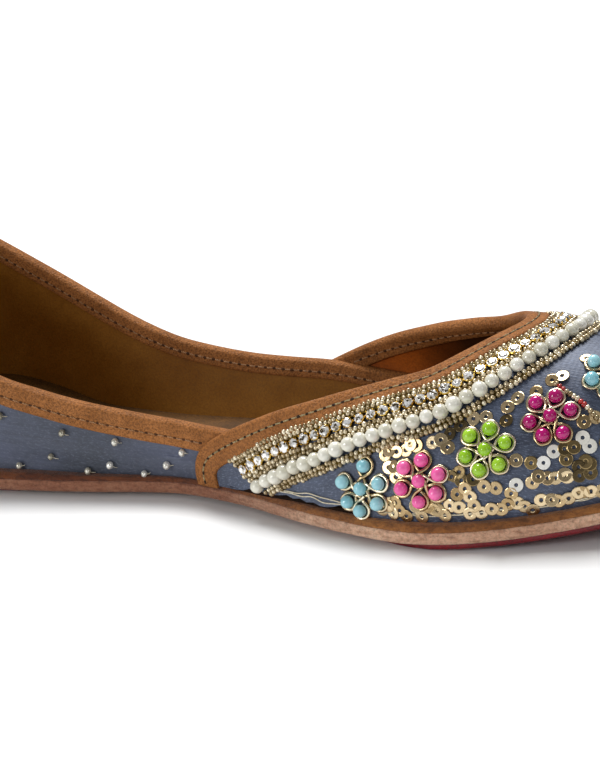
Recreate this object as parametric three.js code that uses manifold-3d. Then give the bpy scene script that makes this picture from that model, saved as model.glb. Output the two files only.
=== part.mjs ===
// A left mojari: a flat leather-soled slipper with low quarters, a vamp whose wings lap
// over the quarters, folded leather bindings, and red guards under heel and forepart.
//
// Millimetres, +Z up, +X to the toe, +Y to the outer (lateral) side. Shapes are worked
// out with x measured from the back of the heel; the group then puts the origin on the
// floor, under the middle of the shoe.

import * as THREE from 'three';
import { mergeVertices } from 'three/addons/utils/BufferGeometryUtils.js';
import Module from 'manifold-3d';

const wasm = await Module();
wasm.setup();

// ---------------------------------------------------------------- driving dimensions

const LENGTH = 242;             // outsole, heel to toe
const GAP = 0.3;                // clearance between neighbouring pieces
const GUARD = 0.9;              // thickness of the red guards
const OUTSOLE = 2.8;            // thickness of the outsole
const MIDSOLE = 0.8;            // thickness of the midsole under heel and forepart
const MIDSOLE_WAIST = 0.4;      // and where it is skived thin under the waist
const INSOLE = 1.0;             // thickness of the insole
const HEEL_RISE = 5.8;          // padding under the heel
const TOE_SPRING = 10.4;        // lift of the toe tip
const SPRING_FROM = 165;        // where the forepart starts to lift
const HEEL_GUARD_END = 60;      // front edge of the heel guard
const FORE_GUARD_START = 136;   // back edge of the forepart guard
const QUARTER_WALL = 1.8;       // quarter leather, lining and cover together
const VAMP_OUT = 1.6;           // outer face of the vamp above the last's surface
const VAMP_IN = -0.2;           // inner face of the vamp, let into the quarters
const BINDING = 0.8;            // thickness of the binding leather
const BINDING_WIDTH = 6;        // how far a binding comes down from its edge
const QUARTER_FRONT = 152;      // front end of the quarters, under the vamp

// Outline of the sole from above: half widths each side of the centre line.
const SOLE_PLAN = [
  { x: 3, medial: 12.0, lateral: 11.2 },
  { x: 10, medial: 20.0, lateral: 19.4 },
  { x: 25, medial: 27.6, lateral: 26.9 },
  { x: 42, medial: 29.8, lateral: 28.8 },
  { x: 70, medial: 27.3, lateral: 24.8 },
  { x: 95, medial: 22.4, lateral: 23.2 },
  { x: 103, medial: 21.6, lateral: 23.4 },
  { x: 120, medial: 25.0, lateral: 27.0 },
  { x: 140, medial: 32.4, lateral: 34.2 },
  { x: 155, medial: 36.8, lateral: 38.5 },
  { x: 168, medial: 39.2, lateral: 39.3 },
  { x: 177, medial: 38.9, lateral: 38.5 },
  { x: 188, medial: 36.6, lateral: 36.0 },
  { x: 203, medial: 31.0, lateral: 30.2 },
  { x: 218, medial: 24.0, lateral: 24.0 },
  { x: 231, medial: 15.4, lateral: 15.8 },
  { x: 239, medial: 6.8, lateral: 7.2 },
];

// The last at its fullest, seen from above, and its two ends on the centre line.
const LAST_HEEL = 3.2;
const LAST_TOE = 237.4;
const LAST_PLAN = [
  { x: 6, medial: 9.8, lateral: 9.2 },
  { x: 13, medial: 18.0, lateral: 17.4 },
  { x: 25, medial: 24.6, lateral: 24.1 },
  { x: 42, medial: 27.2, lateral: 26.8 },
  { x: 70, medial: 25.3, lateral: 27.6 },
  { x: 95, medial: 22.3, lateral: 29.0 },
  { x: 103, medial: 22.0, lateral: 29.5 },
  { x: 120, medial: 25.0, lateral: 31.0 },
  { x: 140, medial: 29.6, lateral: 33.2 },
  { x: 155, medial: 33.4, lateral: 35.0 },
  { x: 167, medial: 35.3, lateral: 35.5 },
  { x: 177, medial: 34.9, lateral: 34.7 },
  { x: 188, medial: 32.6, lateral: 32.2 },
  { x: 203, medial: 27.2, lateral: 26.7 },
  { x: 218, medial: 20.0, lateral: 20.0 },
  { x: 230, medial: 12.0, lateral: 12.2 },
];

// Sections of the last across its length: height of the ridge line, where it runs,
// how square the section is (2 is an ellipse), and how far its foot tucks in.
const SECTIONS = [
  { x: 24, ridge: 104, centre: 0, square: 2.6, tuckMedial: 1.0, tuckLateral: 1.0 },
  { x: 45, ridge: 92, centre: 0.2, square: 2.6, tuckMedial: 1.2, tuckLateral: 2.2 },
  { x: 65, ridge: 76, centre: 1.2, square: 2.6, tuckMedial: 1.5, tuckLateral: 5.8 },
  { x: 90, ridge: 62, centre: 2.6, square: 2.5, tuckMedial: 1.8, tuckLateral: 7.8 },
  { x: 112, ridge: 53, centre: 2.8, square: 2.4, tuckMedial: 1.8, tuckLateral: 7.4 },
  { x: 132, ridge: 46.5, centre: 2.8, square: 2.3, tuckMedial: 1.5, tuckLateral: 4.2 },
  { x: 148, ridge: 42, centre: 2.8, square: 2.1, tuckMedial: 1.2, tuckLateral: 2.0 },
  { x: 166, ridge: 39.4, centre: 2.8, square: 2.0, tuckMedial: 1.2, tuckLateral: 1.2 },
  { x: 184, ridge: 39.5, centre: 2.6, square: 2.0, tuckMedial: 1.2, tuckLateral: 1.2 },
  { x: 196, ridge: 38.6, centre: 1.8, square: 2.0, tuckMedial: 1.2, tuckLateral: 1.2 },
  { x: 208, ridge: 36.2, centre: 1.0, square: 2.0, tuckMedial: 1.2, tuckLateral: 1.2 },
  { x: 222, ridge: 31.5, centre: 0.4, square: 2.0, tuckMedial: 1.1, tuckLateral: 1.1 },
  { x: 238, ridge: 25, centre: 0, square: 2.0, tuckMedial: 1.0, tuckLateral: 1.0 },
];
const SPINE_HEEL = 30;          // ends of the ridge line; the sections fan round them
const SPINE_TOE = 208;
const TUCK_HEIGHT = 0.3;        // share of the section over which the foot tucks in

// Top edge of the quarters, seen from each side.
const COLLAR = [
  { x: 3, medial: 56.2, lateral: 56.2 },
  { x: 12, medial: 54.2, lateral: 54.6 },
  { x: 21, medial: 50.2, lateral: 51.4 },
  { x: 30, medial: 44.2, lateral: 46.0 },
  { x: 45, medial: 34.2, lateral: 37.7 },
  { x: 58, medial: 27.4, lateral: 30.9 },
  { x: 68, medial: 24.5, lateral: 26.2 },
  { x: 78, medial: 22.0, lateral: 22.6 },
  { x: 88, medial: 20.1, lateral: 20.6 },
  { x: 98, medial: 18.6, lateral: 19.3 },
  { x: 108, medial: 17.8, lateral: 18.7 },
  { x: 120, medial: 17.6, lateral: 18.1 },
  { x: 132, medial: 16.8, lateral: 16.2 },
  { x: 160, medial: 13.0, lateral: 12.0 },
];

// Throat edge of the vamp, seen from the side: up the back of a wing, then forward
// to the middle of the throat, where it meets the ridge line.
const WING_FOOT = { x: 110.5, below: 6 };
const THROAT = [
  { x: 109.0, z: 7.0 },
  { x: 109.6, z: 10.4 },
  { x: 111.8, z: 13.4 },
  { x: 116.4, z: 16.4 },
  { x: 122.6, z: 19.6 },
  { x: 132, z: 23.8 },
  { x: 146, z: 28.6 },
  { x: 160, z: 32.6 },
  { x: 172, z: 36.0 },
];
const THROAT_FRONT = 184.3;

const MESH = { stations: 22, fan: 6, rows: 10, soleStations: 34 };

// --------------------------------------------------------------------------- tables

// Smooth value of one column of a table at x: cubic through the rows.
function column(rows, name, x) {
  const last = rows.length - 1;
  if (x <= rows[0].x) return rows[0][name];
  if (x >= rows[last].x) return rows[last][name];
  let k = 0;
  while (rows[k + 1].x < x) k += 1;
  const slope = (a, b) => (rows[b][name] - rows[a][name]) / (rows[b].x - rows[a].x);
  const slopeStart = k > 0 ? slope(k - 1, k + 1) : slope(k, k + 1);
  const slopeEnd = k + 2 <= last ? slope(k, k + 2) : slope(k, k + 1);
  const span = rows[k + 1].x - rows[k].x;
  const t = (x - rows[k].x) / span;
  const [t2, t3] = [t * t, t * t * t];
  return rows[k][name] * (2 * t3 - 3 * t2 + 1) + slopeStart * span * (t3 - 2 * t2 + t)
    + rows[k + 1][name] * (3 * t2 - 2 * t3) + slopeEnd * span * (t3 - t2);
}

const ease = (from, to, x) => THREE.MathUtils.smoothstep(x, from, to);

// ------------------------------------------------------------------- sole, from below

const spring = (x) => TOE_SPRING * (Math.max(0, x - SPRING_FROM) / (LENGTH - SPRING_FROM)) ** 2;
const guardTop = (x) => GUARD + spring(x);
const outsoleBottom = (x) => guardTop(x) + GAP;
const outsoleTop = (x) => outsoleBottom(x) + OUTSOLE;
const midsoleBottom = (x) => outsoleTop(x) + GAP;
const waist = (x) => ease(62, 84, x) - ease(118, 142, x);
const midsoleTop = (x) => midsoleBottom(x) + MIDSOLE + (MIDSOLE_WAIST - MIDSOLE) * waist(x);
const featherHeight = (x) => midsoleTop(x) + GAP;
const insoleBottom = (x) => midsoleTop(x) + GAP;
const insoleTop = (x) => insoleBottom(x) + INSOLE + HEEL_RISE * (1 - ease(16, 58, x));

// ------------------------------------------------------------------------ plan shapes

// A plan outline as two lines of points, heel to toe, one for each side.
function planSides(rows, heel, toe) {
  const medial = rows.map((row) => new THREE.Vector3(row.x, -row.medial, 0));
  const lateral = rows.map((row) => new THREE.Vector3(row.x, row.lateral, 0)).reverse();
  const ends = [new THREE.Vector3(heel, 0, 0), new THREE.Vector3(toe, 0, 0)];
  const knots = [ends[0], ...medial, ends[1], ...lateral];
  const curve = new THREE.CatmullRomCurve3(knots, true, 'centripetal');
  const steps = 24;
  const toeAt = medial.length + 1;
  const line = (fromKnot, toKnot) => {
    const points = [];
    const count = Math.abs(toKnot - fromKnot) * steps;
    for (let k = 0; k <= count; k += 1) {
      const knot = fromKnot + (toKnot - fromKnot) * (k / count);
      points.push(curve.getPoint(knot / knots.length));
    }
    return points;
  };
  return { medial: line(0, toeAt), lateral: line(knots.length, toeAt) };
}

// The point of one side at x, with its inward direction.
function onSide(line, x) {
  let k = 0;
  while (k < line.length - 2 && line[k + 1].x < x) k += 1;
  const along = new THREE.Vector3().subVectors(line[k + 1], line[k]);
  const t = THREE.MathUtils.clamp((x - line[k].x) / along.x, 0, 1);
  const point = line[k].clone().addScaledVector(along, t);
  const inward = new THREE.Vector3(-along.y, along.x, 0).normalize();
  if (inward.y * point.y > 0) inward.negate();
  return { point, inward };
}

const SOLE = planSides(SOLE_PLAN, 0, LENGTH);
const LAST = planSides(LAST_PLAN, LAST_HEEL, LAST_TOE);

// ----------------------------------------------------------------------------- solids

function solidOf(points, faces) {
  const geometry = new THREE.BufferGeometry();
  geometry.setAttribute('position', new THREE.Float32BufferAttribute(points.flatMap((p) => p.toArray()), 3));
  geometry.setIndex(faces.flat());
  const merged = mergeVertices(geometry, 1e-4);
  const index = merged.index.array;
  const kept = [];
  for (let k = 0; k < index.length; k += 3) {
    const [a, b, c] = [index[k], index[k + 1], index[k + 2]];
    if (a !== b && b !== c && c !== a) kept.push(a, b, c);
  }
  return new wasm.Manifold(new wasm.Mesh({
    numProp: 3,
    vertProperties: merged.attributes.position.array,
    triVerts: new Uint32Array(kept),
  }));
}

function geometryOf(solid) {
  const mesh = solid.getMesh();
  const geometry = new THREE.BufferGeometry();
  geometry.setAttribute('position', new THREE.BufferAttribute(mesh.vertProperties, 3));
  geometry.setIndex(new THREE.BufferAttribute(mesh.triVerts, 1));
  geometry.computeVertexNormals();
  return geometry;
}

// A layer of the sole: the plan outline drawn in by one inset below and one above.
function layer({ sides, from, to, bottom, top, insetBelow, insetAbove }) {
  const count = MESH.soleStations;
  const points = [];
  const faces = [];
  for (let k = 0; k <= count; k += 1) {
    const x = from + (to - from) * (1 - Math.cos((Math.PI * k) / count)) / 2;
    for (const [line, inset, height] of [
      [sides.medial, insetBelow, bottom], [sides.lateral, insetBelow, bottom],
      [sides.lateral, insetAbove, top], [sides.medial, insetAbove, top],
    ]) {
      const { point, inward } = onSide(line, x);
      const end = k === 0 || k === count;
      const tip = Math.abs(point.y) < 1e-6;
      if (tip) inward.set(k === 0 ? 1 : -1, 0, 0);
      if (end && !tip) inward.x = 0;
      point.addScaledVector(inward, inset(x, point.y));
      point.z = height(point.x);
      points.push(point);
    }
  }
  for (let k = 0; k < count; k += 1) {
    for (let corner = 0; corner < 4; corner += 1) {
      const a = 4 * k + corner;
      const b = 4 * k + ((corner + 1) % 4);
      faces.push([a, b, a + 4], [b, b + 4, a + 4]);
    }
  }
  const end = 4 * count;
  faces.push([0, 2, 1], [0, 3, 2], [end, end + 1, end + 2], [end, end + 2, end + 3]);
  return solidOf(points, faces);
}

// --------------------------------------------------------------------------- the last

// How far the last tucks in at its foot. It flares most on the lateral side of the waist.
const tuckAt = (x, y) => column(SECTIONS, y < 0 ? 'tuckMedial' : 'tuckLateral', x);

// One section: from the foot on the outline, up and over to the ridge line.
function section(foot, spineX) {
  const spine = new THREE.Vector3(spineX, column(SECTIONS, 'centre', spineX), 0);
  const outward = new THREE.Vector3().subVectors(foot, spine).setZ(0);
  const reach = outward.length();
  outward.normalize();
  return {
    spine,
    outward,
    reach,
    foot: featherHeight(foot.x),
    square: column(SECTIONS, 'square', spineX),
    tuck: tuckAt(foot.x, foot.y),
  };
}

// A point of a section: up is 0 at the foot and 1 on the ridge, off is measured out
// from the last's surface.
function sectionPoint(cut, up, off) {
  const rise = Math.sin((up * Math.PI) / 2);
  const narrow = Math.max(0, 1 - rise ** cut.square) ** (1 / cut.square);
  const tucked = cut.tuck * Math.max(0, 1 - up / TUCK_HEIGHT) ** 2;
  const point = cut.spine.clone().addScaledVector(cut.outward, (cut.reach + off) * narrow - tucked);
  point.z = cut.foot + (column(SECTIONS, 'ridge', point.x) + off - cut.foot) * rise;
  return point;
}

// Sections of a fan: the outline's points seen from the spine's end at equal angles.
function fan(line, spineX, backwards) {
  const centre = new THREE.Vector3(spineX, column(SECTIONS, 'centre', spineX), 0);
  const angleOf = (p) => Math.atan2(Math.abs(p.y - centre.y), (p.x - centre.x) * (backwards ? -1 : 1));
  const cuts = [];
  for (let k = 1; k < MESH.fan; k += 1) {
    const angle = (Math.PI / 2) * (k / MESH.fan);
    const foot = line.reduce((best, p) => (
      Math.abs(angleOf(p) - angle) < Math.abs(angleOf(best) - angle) ? p : best));
    cuts.push(section(foot, spineX));
  }
  return cuts;
}

// All sections in order round the shoe: heel, medial side, toe, lateral side.
function ringOfSections() {
  const flank = (line) => {
    const cuts = [];
    for (let k = 0; k <= MESH.stations; k += 1) {
      const x = THREE.MathUtils.lerp(SPINE_HEEL, SPINE_TOE, k / MESH.stations);
      cuts.push(section(onSide(line, x).point, x));
    }
    return cuts;
  };
  const heelTip = section(LAST.medial[0], SPINE_HEEL);
  const toeTip = section(LAST.medial.at(-1), SPINE_TOE);
  const side = (line) => [
    ...fan(line, SPINE_HEEL, true), ...flank(line), ...fan(line, SPINE_TOE, false).reverse(),
  ];
  return [heelTip, ...side(LAST.medial), toeTip, ...side(LAST.lateral).reverse()];
}

const RING = ringOfSections();
const TOE_INDEX = RING.length / 2;
const nodeAt = (i, j) => (i % RING.length) * (MESH.rows + 1) + j;
const nodePoint = (node, off) => {
  const i = Math.floor(node / (MESH.rows + 1));
  return sectionPoint(RING[i], (node % (MESH.rows + 1)) / MESH.rows, off);
};

// Distance over the last from the ridge line down to a share of the section, or to a
// height.
function overLast(cut, reached) {
  const steps = 60;
  let length = 0;
  let point = sectionPoint(cut, 1, 0);
  for (let k = steps - 1; k >= 0; k -= 1) {
    const next = sectionPoint(cut, k / steps, 0);
    if (reached(next, k / steps)) return length;
    length += next.distanceTo(point);
    point = next;
  }
  return length;
}

// The throat edge on the flattened last: x along it, y the distance from the ridge.
const throatLine = (() => {
  const flat = (line, sign) => {
    const foot = section(onSide(line, WING_FOOT.x).point, WING_FOOT.x);
    const whole = overLast(foot, () => false);
    const points = [new THREE.Vector3(WING_FOOT.x, sign * (whole + WING_FOOT.below), 0)];
    for (const { x, z } of THROAT) {
      const cut = section(onSide(line, x).point, x);
      const ridge = column(SECTIONS, 'ridge', x);
      const heightOnVamp = z - VAMP_OUT * ((z - cut.foot) / (ridge - cut.foot)) ** 2;
      points.push(new THREE.Vector3(x, sign * overLast(cut, (p) => p.z <= heightOnVamp), 0));
    }
    return points;
  };
  const front = new THREE.Vector3(THROAT_FRONT, 0, 0);
  const knots = [...flat(LAST.medial, -1), front, ...flat(LAST.lateral, 1).reverse()];
  return new THREE.CatmullRomCurve3(knots, false, 'centripetal').getPoints(160);
})();

// Signed distance from the throat edge on the flattened last, positive on the vamp.
const beyondThroat = (() => {
  const far = 60;
  const values = new Map();
  for (let i = 0; i < RING.length; i += 1) {
    for (let j = 0; j <= MESH.rows; j += 1) {
      const cut = RING[i];
      const sign = i < TOE_INDEX ? -1 : 1;
      const here = new THREE.Vector3(cut.spine.x, sign * overLast(cut, (p, up) => up <= j / MESH.rows), 0);
      let value = far;
      if (cut.spine.x < SPINE_TOE) {
        let nearest = Infinity;
        for (let k = 0; k < throatLine.length - 1; k += 1) {
          const edge = new THREE.Line3(throatLine[k], throatLine[k + 1]);
          const foot = edge.closestPointToPoint(here, true, new THREE.Vector3());
          const distance = foot.distanceTo(here);
          if (distance < nearest) {
            nearest = distance;
            const along = edge.delta(new THREE.Vector3());
            const across = new THREE.Vector3().subVectors(here, edge.start);
            const turn = along.x * across.y - along.y * across.x;
            value = turn < 0 ? distance : -distance;
          }
        }
      }
      values.set(nodeAt(i, j), value);
    }
  }
  return (node) => values.get(node);
})();

// Distance below the collar edge, measured square to the edge.
function belowCollar(node) {
  const { x, y, z } = nodePoint(node, 0);
  const side = y < 0 ? 'medial' : 'lateral';
  const slope = (column(COLLAR, side, x + 1) - column(COLLAR, side, x - 1)) / 2;
  return (column(COLLAR, side, x) - z) / Math.hypot(1, slope);
}

const behindQuarterFront = (node) => QUARTER_FRONT - nodePoint(node, 0).x;

// ---------------------------------------------------------------- skins cut to a pattern

// A corner of a cut skin is a mix of grid nodes, kept as [node, share] pairs.
function mix(a, b, t) {
  const shares = new Map();
  for (const [node, share] of a) shares.set(node, share * (1 - t));
  for (const [node, share] of b) shares.set(node, (shares.get(node) ?? 0) + share * t);
  return [...shares].sort((p, q) => p[0] - q[0]);
}

function valueAt(corner, field) {
  const value = corner.reduce((sum, [node, share]) => sum + share * field(node), 0);
  return Math.abs(value) < 0.03 ? 0 : value;
}

// The part of a polygon where the field is positive.
function clip(polygon, field) {
  const kept = [];
  let inside = false;
  polygon.forEach((corner, k) => {
    const next = polygon[(k + 1) % polygon.length];
    const [here, there] = [valueAt(corner, field), valueAt(next, field)];
    if (here >= 0) kept.push(corner);
    if (here > 0) inside = true;
    if (here * there < 0) kept.push(mix(corner, next, here / (here - there)));
  });
  return inside && kept.length > 2 ? kept : [];
}

// The last's grid cut to a pattern: triangles of corners where every field is positive.
function pattern(fields) {
  const triangles = [];
  for (let i = 0; i < RING.length; i += 1) {
    for (let j = 0; j < MESH.rows; j += 1) {
      const [a, b, c, d] = [nodeAt(i, j), nodeAt(i + 1, j), nodeAt(i + 1, j + 1), nodeAt(i, j + 1)];
      for (const triangle of [[a, b, c], [a, c, d]]) {
        let polygon = triangle.map((node) => [[node, 1]]);
        for (const field of fields) polygon = clip(polygon, field);
        for (let k = 1; k < polygon.length - 1; k += 1) {
          triangles.push([polygon[0], polygon[k], polygon[k + 1]]);
        }
      }
    }
  }
  return triangles;
}

// A pattern laid on the last between two distances from its surface, as a closed solid.
function shell(triangles, inner, outer) {
  const points = [];
  const ids = new Map();
  const place = (corner) => {
    const at = (off) => corner.reduce((sum, [node, share]) => (
      sum.addScaledVector(nodePoint(node, off), share)), new THREE.Vector3());
    const outside = at(outer);
    const key = outside.toArray().map((value) => Math.round(value * 1e3)).join();
    if (!ids.has(key)) {
      ids.set(key, points.length);
      points.push(outside, at(inner));
    }
    return ids.get(key);
  };
  const faces = [];
  const edges = new Map();
  for (const triangle of triangles) {
    const [a, b, c] = triangle.map(place);
    if (a === b || b === c || c === a) continue;
    faces.push([a, b, c], [a + 1, c + 1, b + 1]);
    for (const [p, q] of [[a, b], [b, c], [c, a]]) edges.set(`${p},${q}`, [p, q]);
  }
  for (const [p, q] of edges.values()) {
    if (!edges.has(`${q},${p}`)) faces.push([q, p, p + 1], [q, p + 1, q + 1]);
  }
  return solidOf(points, faces);
}

// A field moved so that its zero lies further out from the edge.
const grown = (field, by) => (node) => field(node) + by;
// The strip beside an edge, down to a width.
const within = (field, width) => (node) => width - field(node);

// A binding folded over an edge: a strip on both faces of a wall and round its edge.
function foldedBinding(edge, limits, inner, outer) {
  const strip = pattern([grown(edge, GAP + BINDING), within(edge, BINDING_WIDTH), ...limits]);
  const core = pattern([grown(edge, GAP), within(edge, BINDING_WIDTH + 3)]);
  const whole = shell(strip, inner - GAP - BINDING, outer + GAP + BINDING);
  return whole.subtract(shell(core, inner - GAP, outer + GAP));
}

// ----------------------------------------------------------------------------- pieces

function makeUpper() {
  const quarters = shell(pattern([belowCollar, behindQuarterFront]), -QUARTER_WALL, 0);
  const vamp = shell(pattern([beyondThroat]), VAMP_IN, VAMP_OUT);
  return quarters.add(vamp);
}

function makeCollarBinding() {
  const binding = foldedBinding(belowCollar, [grown(behindQuarterFront, -8)], -QUARTER_WALL, 0);
  const wings = shell(pattern([grown(beyondThroat, GAP + BINDING + GAP)]), VAMP_IN - GAP, VAMP_OUT + 3);
  return binding.subtract(wings);
}

function makeThroatBinding() {
  const binding = foldedBinding(beyondThroat, [], VAMP_IN, VAMP_OUT);
  const collar = pattern([grown(belowCollar, GAP + BINDING + GAP), grown(behindQuarterFront, GAP)]);
  return binding.subtract(shell(collar, -QUARTER_WALL - 3, GAP));
}

const none = () => 0;

function makeOutsole() {
  return layer({
    sides: SOLE, from: 0, to: LENGTH, bottom: outsoleBottom, top: outsoleTop,
    insetBelow: none, insetAbove: none,
  });
}

function makeGuard(from, to) {
  const inset = () => 0.5;
  return layer({
    sides: SOLE, from, to, bottom: spring, top: guardTop, insetBelow: inset, insetAbove: inset,
  });
}

function makeMidsole() {
  return layer({
    sides: SOLE, from: 0, to: LENGTH, bottom: midsoleBottom, top: midsoleTop,
    insetBelow: () => 0.3,
    insetAbove: (x) => 1.4 - waist(x),
  });
}

function makeInsole() {
  const inset = (x, y) => QUARTER_WALL + 0.5 + tuckAt(x, y);
  return layer({
    sides: LAST, from: LAST_HEEL, to: LAST_TOE, bottom: insoleBottom, top: insoleTop,
    insetBelow: inset, insetAbove: inset,
  });
}

const FINISHES = {
  redLeather: { color: '#7d1419', roughness: 0.45, metalness: 0 },
  paleLeather: { color: '#b07c62', roughness: 0.85, metalness: 0 },
  darkLeather: { color: '#6b3c20', roughness: 0.85, metalness: 0 },
  liningLeather: { color: '#5f431f', roughness: 0.55, metalness: 0 },
  slateSatin: { color: '#596273', roughness: 0.5, metalness: 0 },
  tanLeather: { color: '#93643f', roughness: 0.6, metalness: 0 },
};

const PIECES = [
  { name: 'heel_guard', solid: makeGuard(0, HEEL_GUARD_END), finish: 'redLeather' },
  { name: 'forepart_guard', solid: makeGuard(FORE_GUARD_START, LENGTH), finish: 'redLeather' },
  { name: 'outsole', solid: makeOutsole(), finish: 'paleLeather' },
  { name: 'midsole', solid: makeMidsole(), finish: 'darkLeather' },
  { name: 'insole', solid: makeInsole(), finish: 'liningLeather' },
  { name: 'upper', solid: makeUpper(), finish: 'slateSatin' },
  { name: 'collar_binding', solid: makeCollarBinding(), finish: 'tanLeather' },
  { name: 'throat_binding', solid: makeThroatBinding(), finish: 'tanLeather' },
];

const shoe = new THREE.Group();
shoe.name = 'mojari_left';
shoe.position.x = -LENGTH / 2;
for (const { name, solid, finish } of PIECES) {
  const mesh = new THREE.Mesh(geometryOf(solid), new THREE.MeshStandardMaterial(FINISHES[finish]));
  mesh.name = name;
  shoe.add(mesh);
}

export default shoe;
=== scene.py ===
import math
import random

import bpy
import numpy as np
from mathutils import Matrix, Vector, noise
from mathutils.bvhtree import BVHTree


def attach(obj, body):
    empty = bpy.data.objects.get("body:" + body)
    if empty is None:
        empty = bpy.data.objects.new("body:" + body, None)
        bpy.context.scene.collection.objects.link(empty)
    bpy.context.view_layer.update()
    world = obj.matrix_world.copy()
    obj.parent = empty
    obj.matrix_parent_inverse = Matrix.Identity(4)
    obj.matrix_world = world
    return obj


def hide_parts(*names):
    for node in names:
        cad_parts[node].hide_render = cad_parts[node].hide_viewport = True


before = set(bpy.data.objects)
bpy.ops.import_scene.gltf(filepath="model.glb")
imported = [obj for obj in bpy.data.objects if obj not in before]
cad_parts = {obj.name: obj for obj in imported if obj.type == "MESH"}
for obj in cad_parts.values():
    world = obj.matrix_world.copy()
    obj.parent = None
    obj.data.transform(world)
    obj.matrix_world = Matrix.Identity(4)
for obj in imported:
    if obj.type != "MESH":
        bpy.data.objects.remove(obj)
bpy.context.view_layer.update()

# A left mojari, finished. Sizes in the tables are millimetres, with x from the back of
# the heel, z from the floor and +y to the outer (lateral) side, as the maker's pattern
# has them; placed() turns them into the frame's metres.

MM = 0.001
BODY = "root"

bpy.ops.object.select_all(action="DESELECT")

# ------------------------------------------------------------------ sizes of the shoe

LENGTH = 242.0
TOE_SPRING = 10.4
SPRING_FROM = 165.0
GUARD = 1.2
OUTSOLE = 2.8
MIDSOLE = 1.4
MIDSOLE_WAIST = 1.0
INSOLE = 1.0
HEEL_RISE = 5.8
# From and to where the heel's rise and the heel pad run out, and the waist begins and ends.
RISE_END = (16, 58)
PAD_END = (27, 61)
WAIST_START = (62, 84)
WAIST_END = (118, 142)
HEEL_GUARD_END = 60.0
FORE_GUARD_START = 136.0
QUARTER_WALL = 1.8
VAMP_OUT = 1.6
VAMP_IN = -0.2
BINDING = 0.75
QUARTER_FRONT = 152.0


def table(names, *rows):
    """Named columns of a short table of sizes."""
    return dict(zip(names.split(), np.array(rows, float).T))


SOLE_PLAN = table(
    "x medial lateral",
    (3, 12.0, 11.2), (10, 20.0, 19.4), (25, 27.6, 26.9), (42, 29.8, 28.8), (70, 27.3, 24.8),
    (95, 22.4, 23.2), (103, 21.6, 23.4), (120, 25.0, 27.0), (140, 32.4, 34.2),
    (155, 36.8, 38.5), (168, 39.2, 39.3), (177, 38.9, 38.5), (188, 36.6, 36.0),
    (203, 31.0, 30.2), (218, 24.0, 24.0), (231, 15.4, 15.8), (239, 6.8, 7.2),
)
LAST_HEEL, LAST_TOE = 3.2, 237.4
LAST_PLAN = table(
    "x medial lateral",
    (6, 9.8, 9.2), (13, 18.0, 17.4), (25, 24.6, 24.1), (42, 27.2, 26.8), (70, 25.3, 27.6),
    (95, 22.3, 29.0), (103, 22.0, 29.5), (120, 25.0, 31.0), (140, 29.6, 33.2),
    (155, 33.4, 35.0), (167, 35.3, 35.5), (177, 34.9, 34.7), (188, 32.6, 32.2),
    (203, 27.2, 26.7), (218, 20.0, 20.0), (230, 12.0, 12.2),
)
SECTIONS = table(
    "x ridge centre square tuck_medial tuck_lateral",
    (24, 104, 0, 2.6, 1.0, 1.0), (45, 92, 0.2, 2.6, 1.2, 2.2), (65, 76, 1.2, 2.6, 1.5, 5.8),
    (90, 62, 2.6, 2.5, 1.8, 7.8), (112, 53, 2.8, 2.4, 1.8, 7.4), (132, 46.5, 2.8, 2.3, 1.5, 4.2),
    (148, 42, 2.8, 2.1, 1.2, 2.0), (166, 39.4, 2.8, 2.0, 1.2, 1.2),
    (184, 39.5, 2.6, 2.0, 1.2, 1.2), (196, 38.6, 1.8, 2.0, 1.2, 1.2),
    (208, 36.2, 1.0, 2.0, 1.2, 1.2), (222, 31.5, 0.4, 2.0, 1.1, 1.1),
    (238, 25, 0, 2.0, 1.0, 1.0),
)
SPINE_HEEL, SPINE_TOE = 30.0, 208.0
TUCK_HEIGHT = 0.3
COLLAR = table(
    "x medial lateral",
    (3, 56.2, 56.2), (12, 54.2, 54.6), (21, 50.2, 51.4), (30, 44.2, 46.0), (45, 34.2, 37.7),
    (58, 27.4, 30.9), (68, 24.5, 26.2), (78, 22.0, 22.6), (88, 20.1, 20.6),
    (98, 18.6, 19.3), (108, 17.8, 18.7), (120, 17.6, 18.1), (132, 16.8, 16.2),
    (160, 13.0, 12.0),
)
WING_FOOT = 110.5
THROAT_FRONT = 184.3
THROAT = table(
    "x z",
    (109.0, 7.0), (109.6, 10.4), (111.8, 13.4), (116.4, 16.4), (122.6, 19.6),
    (132, 23.8), (146, 28.6), (160, 32.6), (172, 36.0),
)
# The bead bands keep their distance from a line that leaves the throat edge at the wing
# and runs straight on to the sole.
BAND_LINE = table(
    "x z",
    (96, 6.6), (104, 11.0), (113, 15.4), (122.6, 19.6), (132, 23.8), (146, 28.6),
    (160, 32.6), (172, 36.0),
)


def column(rows, name, x):
    """Smooth value of one column at x."""
    xs, ys = rows["x"], rows[name]
    chord = np.diff(ys) / np.diff(xs)
    slope = np.concatenate([chord[:1], (ys[2:] - ys[:-2]) / (xs[2:] - xs[:-2]), chord[-1:]])
    x = np.clip(x, xs[0], xs[-1])
    k = np.clip(np.searchsorted(xs, x) - 1, 0, len(xs) - 2)
    span = xs[k + 1] - xs[k]
    t = (x - xs[k]) / span
    return (ys[k] * (2 * t**3 - 3 * t**2 + 1) + slope[k] * span * (t**3 - 2 * t**2 + t)
            + ys[k + 1] * (3 * t**2 - 2 * t**3) + slope[k + 1] * span * (t**3 - t**2))


def ease(low, high, x):
    """From 0 at low to 1 at high, flat at both ends."""
    t = np.clip((x - low) / (high - low), 0, 1)
    return t * t * (3 - 2 * t)


def spring(x):
    """How far the toe's spring lifts the sole off the floor."""
    return TOE_SPRING * (np.maximum(0, x - SPRING_FROM) / (LENGTH - SPRING_FROM)) ** 2


def waist(x):
    """1 where the waist is narrow, 0 at the heel and the ball."""
    return ease(*WAIST_START, x) - ease(*WAIST_END, x)


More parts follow.
